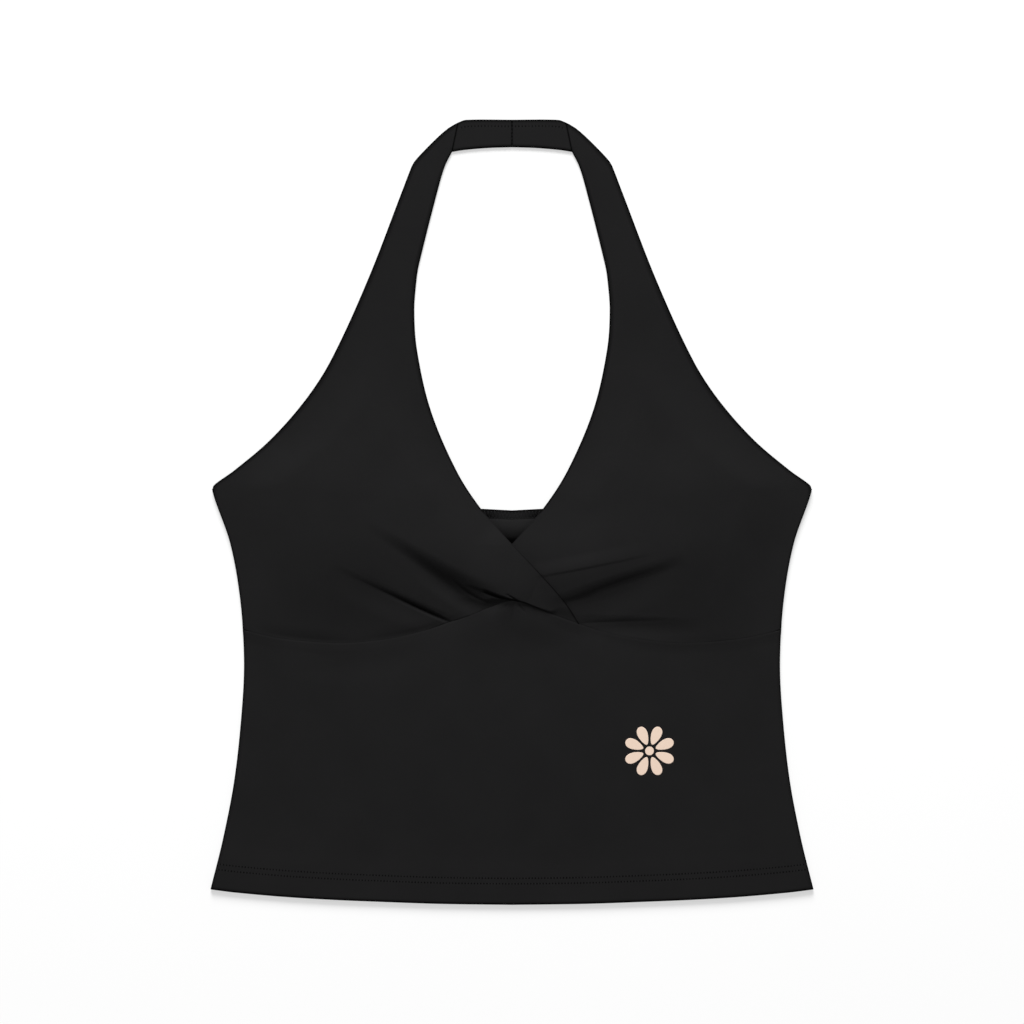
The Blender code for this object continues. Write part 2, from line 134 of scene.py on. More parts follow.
leftCreases = [
    ((-112, -36), (-73.5, -54.5), (-38.5, -70.6), (3.0, 2.0), (3.2, 2.2), -2.2, 0.8, "sharp"),
    ((-43, -36), (-30.5, -49.5), (-13, -58.5), (2, 1.6), (2.4, 1.8), -0.8, 0.7, "sharp"),
    ((-18.5, -50.1), (-9.7, -53.5), (3.5, -57.0), (2.2, 1.0), (2.3, 1.0), -2.3, 0.32, "sharp"),
    ((0, -56.0), (11, -60.0), (24, -65.2), (0.9, 0.8), (0.9, 0.8), -1.0, 0.35, "sharp"),
    ((-3.6, -52.0), (0, -54.3), (5.5, -57.6), (0.9, 0.8), (0.9, 0.8), -1.4, 0.5, "sharp"),
]
leftShades = [
    ((-82, -11), (-46, -35.5), (-8, -52.5), (5, 8), (5, 10), 0.3, 0.62, "soft"),
    ((-12, -53.2), (5, -57.4), (25, -65.3), (1.3, 0.5), (0.9, 0.5), 0.75, 0.42, "soft"),
    ((-164, -74.4), (-135, -79.5), (-103, -80.9), (9, 7), (1.9, 1.7), 0.22, 0.5, "soft"),
    ((-96, -80.0), (-70, -76.6), (-46, -70.2), (7, 7), (1.8, 1.8), 0.17, 0.55, "soft"),
]
rightFolds = [
    ((20, -54.5), (66, -38.6), (110, -24.5), (45, 45), (9, 9.5), 2.1, 0.42, "soft"),
    ((30, -63), (68, -53.5), (112, -30), (9, 8), (14, 14), -0.7, 0.4, "soft"),
    ((38, -72), (76, -74), (122, -76), (8, 9), (10, 10), -1.1, 0.4, "soft"),
    ((12, -41), (47, -34.5), (90, -25.4), (9, 9), (14, 14), 0.42, 0.3, "soft"),
    ((12, -41), (47, -34.5), (90, -25.4), (9, 9), (2.2, 2.2), 0.45, 0.38, "soft"),
]
rightCreases = [
    ((34, -56.5), (60, -47.5), (96, -34.4), (3, 3), (3, 3), -0.2, 0.45, "sharp"),
    ((40, -71.2), (75, -69.6), (106, -69), (2.5, 2.5), (2.5, 2.5), -0.25, 0.3, "sharp"),
]
rightShades = [
    ((36, -57), (69, -44), (100, -33), (4, 4), (4, 4), 0.15, 0.5, "soft"),
    ((32, -56.6), (42, -54.8), (56, -50.0), (2.5, 3.0), (1.6, 3.0), 0.28, 0.4, "soft"),
]
midriffFolds = [
    ((2, -60), (-1, -70), (-2, -88), (9, 9), (9, 9), -0.2, 0.5, "soft"),
    ((-150, -92), (-100, -97), (-52, -88), (10, 10), (14, 14), -0.4, 0.5, "soft"),
    ((1.0, -56.5), (0.5, -61), (-0.5, -72), (1.3, 1.3), (1.3, 1.3), -0.3, 0.3, "sharp"),
    ((4.0, -57.5), (6.0, -61), (9.5, -64.5), (1.3, 1.3), (1.3, 1.3), -0.5, 0.3, "sharp"),
    ((-2.0, -57.0), (-4.5, -60), (-8.5, -62.5), (1.1, 1.1), (1.1, 1.1), -0.35, 0.3, "sharp"),
    ((-16, -52), (20, -61.2), (56, -75.5), (9, 9), (20, 30), 1.5, 0.56, "soft"),
]
foldLook = {
    "fullness": 0.8,        # how soon a fold is at its height, from its ends
    "darkest": 0.93,        # the most light that is lost at the bottom of a crease
    "darkPerDepth": 0.42,   # what is lost for each millimetre of its depth
}


def mixed(a, b, share):
    return a + (b - a) * share


def eased(share):
    share = np.clip(share, 0.0, 1.0)
    return share * share * (3 - 2 * share)


def pastStep(at, step):
    # from 0 before the step's place to 1 past it, in the step's length
    place, length = step
    return eased((at - place) / length)


def onLine(rows, at):
    # the value at a place on the smooth curve through rows of (place, value)
    places, values = np.array(rows, dtype=float).T
    at = np.clip(at, places[0], places[-1])
    after = np.clip(np.searchsorted(places, at), 1, len(places) - 1)
    before = after - 1
    high = np.minimum(np.arange(len(places)) + 1, len(places) - 1)
    low = np.maximum(np.arange(len(places)) - 1, 0)
    slopes = (values[high] - values[low]) / (places[high] - places[low])
    span = places[after] - places[before]
    share = (at - places[before]) / span
    rise = values[after] - values[before]
    curl = (1 - share) * (slopes[before] * span - rise) + share * (rise - slopes[after] * span)
    return values[before] + share * rise + share * (1 - share) * curl


def halfWidth(y):
    # to the side seam below the underarm, and to the armhole edge above it
    return np.where(y < underarmEnds[0], onLine(outline["side"], y), onLine(outline["armhole"], y))


def widthAt(y):
    return float(halfWidth(np.array(y)))


def underbust(x):
    return onLine(outline["underbust"], np.abs(x))


def hemLine(x):
    return onLine(outline["hem"], np.abs(x))


def backTop(x):
    return onLine(outline["backTop"], np.abs(x))


def leftNeckline(y):
    return onLine(outline["neckline"], y)


def rightNeckline(y):
    hidden = onLine(outline["hiddenNeckline"], y)
    return np.where(y < crossing, hidden, onLine(outline["neckline"], y))


def moundHeight(mound, x, y):
    offX = x - mound["x"]
    offY = y - mound["y"]
    reachX = np.where(offX > 0, mound["outer"], mound["inner"])
    reachY = np.where(offY > 0, mound["up"], mound["down"])
    return mound["rise"] * np.maximum(0, 1 - (offX / reachX) ** 2 - (offY / reachY) ** 2) ** 2


def foldHeight(fold, x, y):
    fold = dict(zip(foldColumns, fold))
    (x0, y0), (x1, y1), (x2, y2) = fold["start"], fold["middle"], fold["end"]
    span = math.hypot(x2 - x0, y2 - y0)
    alongX = (x2 - x0) / span
    alongY = (y2 - y0) / span
    along = (x - x0) * alongX + (y - y0) * alongY
    share = np.clip(along / span, 0.0, 1.0)
    middle = (x1 - x0) * alongX + (y1 - y0) * alongY
    bowed = (y1 - y0) * alongX - (x1 - x0) * alongY
    bow = bowed * along * (span - along) / (middle * (span - middle))
    off = (y - y0) * alongX - (x - x0) * alongY - bow
    reach = np.where(off > 0, mixed(*fold["above"], share), mixed(*fold["below"], share))
    if fold["kind"] == "soft":
        profile = np.maximum(0, 1 - (off / reach) ** 2) ** 2
    else:
        profile = np.maximum(0, 1 - np.abs(off) / reach) ** 2
    swell = share ** (math.log(0.5) / math.log(fold["deepest"]))
    return fold["rise"] * profile * np.sin(math.pi * swell) ** foldLook["fullness"]


def foldsHeight(folds, x, y):
    return sum((foldHeight(fold, x, y) for fold in folds), 0 * x)


def creaseShade(creases, shades, x, y):
    # the little light that gets to the bottom of creases
    light = 1 + 0 * x
    for crease in creases:
        rise = crease[foldColumns.index("rise")]
        dark = min(foldLook["darkest"], foldLook["darkPerDepth"] * abs(rise))
        light = light * (1 - dark * foldHeight(crease, x, y) / rise)
    for shade in shades:
        light = light * (1 - foldHeight(shade, x, y))
    return light


def frontAir(x, y):
    height = moundHeight(air["cup"], np.abs(x), y) + moundHeight(air["cross"], x, y)
    height = height + moundHeight(air["loose"], x, y)
    fromSide = halfWidth(y) - np.abs(x)
    fromNeck = np.abs(x) - np.maximum(0, leftNeckline(y))
    dip = air["neckDip"] * (1 - eased(fromNeck / air["neckRun"]))
    dip = dip * eased((y - crossing) / air["neckDipRun"])
    return height * eased(fromSide / air["sideRun"]) * (1 - dip)


def hemPart(fromEdge, depth):
    # 1 where a hem is turned and 0 past it
    return 1 - eased((fromEdge - depth) / cloth["hemStep"])


def backWall(x, y):
    top = hemPart(backTop(x) - y, cloth["backTopHem"])
    bottom = hemPart(y - hemLine(x), cloth["bottomHem"])
    return cloth["single"] + cloth["hemTurn"] * np.maximum(top, bottom)


def midriffWall(x, y):
    hem = hemPart(y - hemLine(x), cloth["bottomHem"])
    seam = 1 - eased((underbust(x) - y) / cloth["seamAllowance"])
    return cloth["single"] + cloth["hemTurn"] * hem + (cloth["double"] - cloth["single"]) * seam


def doubleWall(x, y):
    return cloth["double"] + 0 * x


def restingLevel(x, y):
    # on the back panel, or past its top edge on the surface
    pastEdge = y - backTop(x)
    onBack = 1 - eased((pastEdge - air["liftStart"]) / air["liftRun"])
    overHem = cloth["hemTurn"] * (1 - eased((-pastEdge - air["topHemCleared"]) / air["liftRun"]))
    wall = np.maximum(backWall(x, y), cloth["single"] + overHem)
    return onBack * (wall + cloth["layerGap"])


def settled(lift):
    low = air["lowest"]
    return np.where(lift >= low, lift, low * np.exp(np.minimum(lift, low) / low - 1))


def frontUnder(folds, x, y):
    lift = frontAir(x, y)
    fold = foldsHeight(folds, x, y)
    rested = settled(air["lowest"] + lift + fold) - settled(air["lowest"])
    return restingLevel(x, y) + np.where(lift > 0, np.maximum(0, rested), 0)


def rightUnder(x, y):
    return frontUnder(rightFolds + rightCreases, x, y)


def higher(a, b):
    # the higher of two heights, with a soft change from one to the other
    return (a + b + np.sqrt((a - b) ** 2 + air["blend"] ** 2)) / 2


def leftUnder(x, y):
    pastRight = x - rightNeckline(y)
    climb = eased((pastRight + air["climbRun"] + air["climbEarly"]) / air["climbRun"])
    alone = frontUnder(leftFolds + leftCreases, x, y)
    below = higher(frontUnder([], x, y), rightUnder(x, y))
    crossed = higher(alone, below) + cloth["double"] + cloth["layerGap"] - air["blend"] / 2
    return mixed(alone, crossed, climb)


def midriffUnder(x, y):
    return frontUnder(midriffFolds, x, y)


def fromJoin(x, y):
    # distance from a strap's seam with the neck band
    topX, bottomX = outline["bandTop"][-1][0], outline["bandBottom"][-1][0]
    alongX, alongY = bottomX - topX, joinEnds[1] - joinEnds[0]
    length = math.hypot(alongX, alongY)
    offX, offY = np.abs(x) - topX, y - joinEnds[0]
    share = np.clip((offX * alongX + offY * alongY) / length ** 2, 0.0, 1.0)
    return np.hypot(offX - share * alongX, offY - share * alongY)


shellDetail = {
    "fineRow": 0.5,         # spacing of the rows of points among the folds
    "fineColumn": 1.0,      # and of the points in a row
    "coarse": 2.4,          # spacing on the straps
    "midriff": 1.6,
    "midriffCentre": 0.8,
    "back": 2.6,
    "backCentre": 1.0,
    "seamZone": 12,         # depth of the finer rows below the under-bust seam
    "hemZone": 20,          # and above a hem
    "samples": 200,         # places across the cloth at which the spacing is worked out
    "rimSteps": 6,          # points round an edge
    "rim": 1.3,             # width in which they lie
    "edgeRun": 6,           # width in which the cloth comes to the height of its edge
    "inStep": 0.6,          # how far one row may get ahead of the next, as a share of a point
    "dipKept": 0.75,        # a dip deeper than this share of the wall shows underneath too
}

# How the edges lie: the height in the wall at which the cloth ends, how round it turns down
# to it, the share of the light lost there and the width in which it is lost.
edges = {
    "free": (0.5, 0.3, 0.97, 2.5),
    "join": (0.4, 0.5, 0.75, 1.0),
    "centreSeam": (0.4, 0.6, 0.9, 1.0),
    "overBack": (0.5, 0.3, 0.35, 1.4),
    "crossed": (0.5, 0.3, 0.95, 1.7),
    "bust": (0.92, 1.2, 0, 1.5),
    "midriff": (1.0, 0.4, 0, 1),
    "sideAbove": (0, 1.2, 0.9, 1.8),
    "sideBelow": (1, 1.2, 0.9, 1.8),
}


def spacedBetween(length, spacingAt):
    # distances from one edge to the other, crowded where the cloth turns round its edges
    rim = min(shellDetail["rim"], length / 3)
    turn = rim * (1 - np.cos(np.linspace(0, math.pi / 2, shellDetail["rimSteps"] + 1)))
    samples = np.linspace(rim, length - rim, shellDetail["samples"])
    density = 1 / spacingAt(samples)
    total = np.concatenate([[0], np.cumsum((density[1:] + density[:-1]) / 2 * np.diff(samples))])
    count = max(1, math.ceil(total[-1]))
    inner = np.interp(np.linspace(0, total[-1], count + 1), total, samples)
    return np.concatenate([turn[:-1], inner, length - turn[:-1][::-1]])


def openStart(places):
    # without the crowd of places at an end where the cloth goes on
    return np.delete(places, np.arange(1, shellDetail["rimSteps"]))


def openEnd(places):
    return openStart(places[::-1])[::-1]


def rimShape(distance, radius):
    inside = np.clip(distance / radius, 0.0, 1.0)
    return np.sqrt(1 - (1 - inside) ** 2)


def stripFaces(first, second, level, onRim):
    # Triangles between two rows of points. Their diagonals join corners of like height, and
    # never two points of the rim, where the triangle would meet its twin on the underside.
    faces = []
    i = j = 0
    lastI = len(first) - 1
    lastJ = len(second) - 1
    while i < lastI or j < lastJ:
        if i == lastI:
            onFirst = False
        elif j == lastJ:
            onFirst = True
        elif onRim[first[i + 1]] and onRim[second[j]]:
            onFirst = False
        elif onRim[first[i]] and onRim[second[j + 1]]:
            onFirst = True
        else:
            lag = (i + 1) / lastI - (j + 1) / lastJ
            if abs(lag) * lastI < shellDetail["inStep"]:
                acrossFirst = abs(level[first[i + 1]] - level[second[j]])
                acrossSecond = abs(level[first[i]] - level[second[j + 1]])
                onFirst = acrossFirst < acrossSecond
            else:
                onFirst = lag < 0
        if onFirst:
            faces.append((first[i], second[j], first[i + 1]))
            i += 1
        else:
            faces.append((first[i], second[j], second[j + 1]))
            j += 1
    return faces


def makeShell(name, node, rows, under, wall, relief, rims, lightAt=None):
    # One closed sheet of cloth, in the place of a solid. Each row is a dictionary of arrays:
    # x, y, the distances from the four edges (start, end, first, last) and the place on the
    # cloth (u, v). The rims say how each of those edges lies.
    columns = {key: np.concatenate([row[key] for row in rows]) for key in rows[0]}
    x, y = columns["x"], columns["y"]
    turned = np.ones_like(x)
    level = np.full_like(x, 0.5)
    light = np.ones_like(x)
    for edge, (edgeLevel, radius, dark, width) in rims.items():
        turned = turned * rimShape(columns[edge], radius)
        level = level + (edgeLevel - 0.5) * (1 - eased(columns[edge] / shellDetail["edgeRun"]))
        light = light * (1 - dark * (1 - eased(columns[edge] / width)))
    level = np.clip(level, 0.0, 1.0)
    thick = wall(x, y)
    low = under(x, y)
    raised = relief(x, y)
    edgeHeight = level * thick + raised
    top = low + edgeHeight + (1 - level) * thick * turned
    low = low + np.minimum(0, raised + shellDetail["dipKept"] * thick)
    bottom = mixed(top, low, turned)

    counts = [len(row["x"]) for row in rows]
    starts = np.concatenate([[0], np.cumsum(counts)])
    total = starts[-1]
    isRim = np.zeros(total, dtype=bool)
    isRim[:counts[0]] = True
    isRim[starts[-2]:] = True
    isRim[starts[:-1]] = True
    isRim[starts[1:] - 1] = True
    lowIndex = np.where(isRim, np.arange(total), total + np.cumsum(~isRim) - 1)
    points = np.column_stack([x, y, top])
    points = np.vstack([points, np.column_stack([x, y, bottom])[~isRim]]) * mm

    upper = []
    for row in range(len(rows) - 1):
        first = list(range(starts[row], starts[row + 1]))
        second = list(range(starts[row + 1], starts[row + 2]))
        upper += stripFaces(first, second, top, isRim)
    upper = np.array(upper)
    lower = lowIndex[upper][:, ::-1]
    faces = np.vstack([upper, lower])
    mesh = bpy.data.meshes.new(name)
    mesh.from_pydata(points.tolist(), [], faces.tolist())
    uv = mesh.uv_layers.new(name="cloth")
    onCloth = np.column_stack([columns["u"], columns["v"]])
    onCloth = np.vstack([onCloth, onCloth[~isRim]]) * mm
    uv.data.foreach_set("uv", onCloth[faces.ravel()].ravel().astype(np.float32))
    seen = light * lightAt(x, y) if lightAt else light
    shade = mesh.attributes.new("light", "FLOAT", "POINT")
    shade.data.foreach_set("value", np.concatenate([seen, light[~isRim]]).astype(np.float32))
    mesh.materials.append(jersey)
    piece = finishedPiece(name, mesh)
    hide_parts(node)
    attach(piece, "root")
    return piece


def addObject(name, data):
    thing = bpy.data.objects.new(name, data)
    bpy.context.scene.collection.objects.link(thing)
    return thing


def finishedPiece(name, mesh):
    # an object at the origin with its faces pointing out
    build = bmesh.new()
    build.from_mesh(mesh)
    bmesh.ops.recalc_face_normals(build, faces=build.faces)
    build.to_mesh(mesh)
    build.free()
    mesh.shade_smooth()
    return addObject(name, mesh)


def noRelief(x, y):
    return 0 * x


jerseyLook = {
    "dark": (0.0131, 0.0129, 0.0132),
    "light": (0.0146, 0.0144, 0.0147),
    "patches": 30.0,        # colour patches in a metre
    "patchDetail": 3.0,
    "patchShare": 0.6,      # of the change in colour, and the rest is the fuzz's
    "changes": (0.35, 0.65),        # where the noise turns from dark to light
    "roughness": (0.72, 0.92),
    "specular": 0.01,
    "sheen": 0.003,
    "sheenRoughness": 0.45,
    "wale": 0.00055,        # width of a column of knit loops, in metres
    "course": 0.00042,      # height of a row of them
    "knitRidge": 1.5,       # height of a column's ridge, in those of a loop
    "knitBump": 0.35,
    "knitDepth": 0.00006,
    "fuzz": 2600.0,
    "fuzzDetail": 2.0,
    "fuzzBump": 0.6,
    "fuzzDepth": 0.00005,
}
threadLook = {
    "grain": 1800.0,        # grains in a metre
    "detail": 1.0,
    "bump": 0.5,
    "depth": 0.00005,
    "roughness": 0.7,
    "specular": 0.02,
    "stitch": ((0.016, 0.016, 0.01632), (0.021, 0.021, 0.02142)),
    # near-black, painted as the shadow down in the needle holes
    "holeShadow": ((0.001, 0.001, 0.00102), (0.002, 0.002, 0.00204)),
    "looper": ((0.018, 0.018, 0.01836), (0.026, 0.026, 0.02652)),
}
printLook = {
    "grain": 900.0,
    "detail": 2.0,
    "bump": 0.25,
    "depth": 0.00004,
    "roughness": 0.6,
    "specular": 0.2,
    "peach": ((0.84, 0.645, 0.516), (0.90, 0.71, 0.582)),
}


def feed(tree, node, inputs):
    # gives each input its value, or links it to the socket that makes it
    for key, value in inputs.items():
        if isinstance(value, bpy.types.NodeSocket):
            tree.links.new(value, node.inputs[key])
        else:
            node.inputs[key].default_value = value


def addNode(tree, kind, inputs=None, **settings):
    node = tree.nodes.new(kind)
    for key, value in settings.items():
        setattr(node, key, value)
    feed(tree, node, inputs or {})
    return node


def newMaterial(name):
    material = bpy.data.materials.new(name)
    material.use_nodes = True
    tree = material.node_tree
    return material, tree, tree.nodes["Principled BSDF"]


def maths(tree, operation, a, b=0.0):
    return addNode(tree, "ShaderNodeMath", {0: a, 1: b}, operation=operation).outputs[0]


def noise(tree, scale, detail=2.0):
    place = addNode(tree, "ShaderNodeTexCoord")
    return addNode(tree, "ShaderNodeTexNoise", {
        "Vector": place.outputs["Object"], "Scale": scale, "Detail": detail}).outputs["Fac"]


def blended(tree, share, dark, light, changes=(0.0, 1.0)):
    # from one colour to the other, while the share goes through those two values
    ramp = addNode(tree, "ShaderNodeValToRGB", {"Fac": share})
    for stop, position, color in zip(ramp.color_ramp.elements, changes, (dark, light)):
        stop.position = position
        stop.color = (*color, 1)
    return ramp.outputs["Color"]


def blackJersey():
    look = jerseyLook
    material, tree, shader = newMaterial("blackJersey")
    patches = noise(tree, look["patches"], look["patchDetail"])
    fuzz = noise(tree, look["fuzz"], look["fuzzDetail"])
    mottle = maths(tree, "ADD", maths(tree, "MULTIPLY", patches, look["patchShare"]),
                   maths(tree, "MULTIPLY", fuzz, 1 - look["patchShare"]))
    color = blended(tree, mottle, look["dark"], look["light"], look["changes"])
    light = addNode(tree, "ShaderNodeAttribute", attribute_name="light")
    shaded = addNode(tree, "ShaderNodeVectorMath", {0: color, "Scale": light.outputs["Fac"]},
                     operation="SCALE")

    # knit loops: columns of small V shapes on the cloth's own map
    onCloth = addNode(tree, "ShaderNodeUVMap", uv_map="cloth")
    split = addNode(tree, "ShaderNodeSeparateXYZ", {0: onCloth.outputs["UV"]})
    column = maths(tree, "FRACT", maths(tree, "DIVIDE", split.outputs["X"], look["wale"]))
    fromMiddle = maths(tree, "ABSOLUTE", maths(tree, "SUBTRACT", column, 0.5))
    row = maths(tree, "ADD", maths(tree, "DIVIDE", split.outputs["Y"], look["course"]), fromMiddle)
    loops = maths(tree, "SINE", maths(tree, "MULTIPLY", row, 2 * math.pi))
    sides = maths(tree, "SINE", maths(tree, "MULTIPLY", fromMiddle, 2 * math.pi))
    knit = maths(tree, "MULTIPLY", maths(tree, "ADD", loops, look["knitRidge"]), sides)
    knitBump = addNode(tree, "ShaderNodeBump", {
        "Height": knit, "Strength": look["knitBump"], "Distance": look["knitDepth"]})
    fuzzBump = addNode(tree, "ShaderNodeBump", {
        "Height": fuzz, "Strength": look["fuzzBump"], "Distance": look["fuzzDepth"],
        "Normal": knitBump.outputs["Normal"]})
    smooth, rough = look["roughness"]
    finish = addNode(tree, "ShaderNodeMapRange", {"Value": fuzz, "To Min": smooth, "To Max": rough})
    feed(tree, shader, {
        "Base Color": shaded.outputs[0], "Normal": fuzzBump.outputs["Normal"],
        "Roughness": finish.outputs["Result"], "Specular IOR Level": look["specular"],
        "Sheen Weight": look["sheen"], "Sheen Roughness": look["sheenRoughness"]})
    return material


def grained(name, look, colors):
    # thread or print, with a fine grain in its colour and in its surface
    material, tree, shader = newMaterial(name)
    grain = noise(tree, look["grain"], look["detail"])
    bump = addNode(tree, "ShaderNodeBump", {
        "Height": grain, "Strength": look["bump"], "Distance": look["depth"]})
    feed(tree, shader, {
        "Base Color": blended(tree, grain, *look[colors]), "Normal": bump.outputs["Normal"],
        "Roughness": look["roughness"], "Specular IOR Level": look["specular"]})
    return material


jersey = blackJersey()
thread = grained("blackThread", threadLook, "stitch")
# beads for the painted shadow in the needle holes
holeShadow = grained("stitchHoleShadows", threadLook, "holeShadow")
paleThread = grained("looperThread", threadLook, "looper")
peach = grained("peachPrint", printLook, "peach")
print("materials made")

panelCut = {
    "flat": (0.236, 0.345),     # pattern piece, in metres: across and along
    "foldZone": (40, -35, 105, 50),     # middle and reach of the part with folds
    "foldZoneEnds": (1, 1.3),           # where it ends and in what length, as shares of them
    "spacingFrom": 60,          # the x at which the spacing of the rows is taken
    "spacingBelow": 12,         # and how far below a strap's outer edge
    "climbs": (-34, 10),        # where the left panel is up on the right one along the seam
    "freeEdge": (3, 16),        # the height from which the armhole's edge is free
    "clearEdge": (-3, 5),       # and from which the neckline's is clear of the back
    "crossedEdge": (2, 26),     # it lies on the other panel from here down, over the crossing
    # how far the cloth sinks to its under-bust seam, as rows of (x, depth), and in what length
    "seamDip": [
        (-165, 0.0), (-130, 0.15), (-80, 0.2), (-60, 0.4), (-50, 0.5), (-38, 0.25), (-25, 0.1),
        (-10, 0.0), (40, 0.0), (80, 0.1), (120, 0.2), (165, 0.0)],
    "seamDipRun": 4.5,
    "crossedDip": [
        (-34, 0.0), (-25, 0.15), (-20, 0.5), (-15, 1.1), (-8, 1.5), (-3, 1.4), (0, 1.2), (10, 0.95),
        (20, 1.1), (32, 0.95), (44, 0.95), (52, 0.5)],
    "crossedDipRun": [(-34, 6.0), (-12, 6.0), (-3, 1.8), (24, 1.8), (32, 8.0), (60, 8.0)],
    "joinLine": 1.9,            # where the edge of the join's seam allowance shows
    "joinLineDepth": 0.22,
    "joinLineWidth": 0.35,
    # the share of the light that is lost just above the under-bust seam
    "seamShade": [
        (-190, 0.0), (-166, 0.0), (-142, -0.12), (-90, -0.16), (-66, -0.16), (-54, 0.1), (-46, 0.5),
        (-38, 0.4), (-30, 0.05), (-8, 0.0), (0, 0.2), (25, 0.25), (48, 0.0), (68, 0.0), (82, 0.15),
        (96, 0.05), (108, -0.08), (121, -0.08), (133, 0.12), (145, 0.0), (165, 0.0), (190, 0.0)],
}


def panelSpacing(fine, x, y):
    midX, midY, reachX, reachY = panelCut["foldZone"]
    away = np.hypot((x - midX) / reachX, (y - midY) / reachY)
    return mixed(shellDetail[fine], shellDetail["coarse"], pastStep(away, panelCut["foldZoneEnds"]))


def panelRows(neckline, lowNeck):
    # sections of the panel on the right, from the neck band down to the under-bust seam
    rows = []
    seamSide = widthAt(seamEnds[0])
    seamNeck = float(neckline(np.array(lowNeck)))
    zones = [(joinEnds, underarmEnds), (underarmEnds, (seamEnds[0], lowNeck))]
    for zone, (high, low) in enumerate(zones):
        length = high[0] - low[0]

        def rowSpacing(down):
            y = mixed(high[0], low[0], down / length) - panelCut["spacingBelow"] * (1 - zone)
            return panelSpacing("fineRow", panelCut["spacingFrom"] + 0 * down, y)

        downs = spacedBetween(length, rowSpacing)
        downs = openEnd(downs)[:-1] if zone == 0 else openStart(downs)[1:]
        for down in downs:
            share = down / length
            outerY = mixed(high[0], low[0], share)
            neckY = mixed(high[1], low[1], share)
            outerX = widthAt(outerY)
            neckX = float(neckline(np.array(neckY)))
            chord = math.hypot(neckX - outerX, neckY - outerY)
            drop = (joinEnds[0] - outerY) / (joinEnds[0] - seamEnds[0])

            def columnSpacing(s):
                return panelSpacing(
                    "fineColumn", mixed(outerX, neckX, s / chord), mixed(outerY, neckY, s / chord))

            s = spacedBetween(chord, columnSpacing)
            x = mixed(outerX, neckX, s / chord)
            bow = underbust(mixed(seamSide, seamNeck, s / chord))
            bow = bow - mixed(seamEnds[0], lowNeck, s / chord)
            y = mixed(outerY, neckY, s / chord) + bow * drop ** 2
            toJoin = fromJoin(x, y)
            fromSeam = np.maximum(0, y - underbust(x))
            isLast = zone == 1 and down == downs[-1]
            isFirst = zone == 0 and down == downs[0]
            y = y - cloth["seamMeet"] / 2 * np.clip(1 - fromSeam / cloth["seamMeetRun"], 0, 1)
            x = x - cloth["seamMeet"] / 2 * np.clip(1 - toJoin / cloth["seamMeetRun"], 0, 1)
            rows.append({
                "x": x, "y": y, "start": s, "end": chord - s,
                "first": toJoin * (0 if isFirst else 1), "last": fromSeam * (0 if isLast else 1),
                "u": s, "v": (joinEnds[0] - outerY) + 0 * s})
    return rows


def mirroredRows(rows):
    return [{**row, "x": -row["x"]} for row in rows]


def panelRims(rows):
    # the outer edge is free above the underarm, and below it lies on the back
    y = np.concatenate([row["y"] for row in rows])
    free = pastStep(y, panelCut["freeEdge"])
    outer = [mixed(below, above, free) for below, above in zip(edges["sideAbove"], edges["free"])]
    # the neckline's edge shows less where it lies over the back, and more where they cross
    overBack = 1 - pastStep(y, panelCut["clearEdge"])
    start, run = panelCut["crossedEdge"]
    crossed = eased((crossing + start - y) / run)
    inner = [mixed(bare, mixed(covered, over, crossed), overBack)
             for bare, covered, over in zip(edges["free"], edges["overBack"], edges["crossed"])]
    bust = list(edges["bust"])
    bust[2] = onLine(panelCut["seamShade"], np.concatenate([row["x"] for row in rows]))
    return {"start": outer, "end": inner, "first": edges["join"], "last": bust}


def joinRelief(x, y):
    # the edge of the join's seam allowance, as a fine line across the strap
    fromLine = (fromJoin(x, y) - panelCut["joinLine"]) / panelCut["joinLineWidth"]
    return -panelCut["joinLineDepth"] * np.exp(-fromLine ** 2)


def seamDip(depths, run, x, y):
    # how far the cloth sinks to the under-bust seam, on either side of it
    return onLine(depths, x) * (1 - eased(np.abs(y - underbust(x)) / run))


def rightRelief(x, y):
    return joinRelief(x, y) - seamDip(panelCut["seamDip"], panelCut["seamDipRun"], x, y)


def leftRelief(x, y):
    # it sinks more where it climbs over the other panel
    run = onLine(panelCut["crossedDipRun"], x)
    crossed = joinRelief(x, y) - seamDip(panelCut["crossedDip"], run, x, y)
    return mixed(rightRelief(x, y), crossed, pastStep(x, panelCut["climbs"]))


def frontPanel(name, node, rows, under, relief, creases, shades):
    def lightAt(x, y):
        return creaseShade(creases, shades, x, y)

    return makeShell(name, node, rows, under, doubleWall, relief, panelRims(rows), lightAt)


hiddenEnd = outline["hiddenNeckline"][0][0]
panelRight = frontPanel("panelRight", "front_panel_right", panelRows(rightNeckline, hiddenEnd),
                        rightUnder, rightRelief, rightCreases, rightShades)
panelLeft = frontPanel("panelLeft", "front_panel_left",
                       mirroredRows(panelRows(leftNeckline, seamEnds[1])),
                       leftUnder, leftRelief, leftCreases, leftShades)
print("halter panels made:", len(panelLeft.data.polygons), len(panelRight.data.polygons))

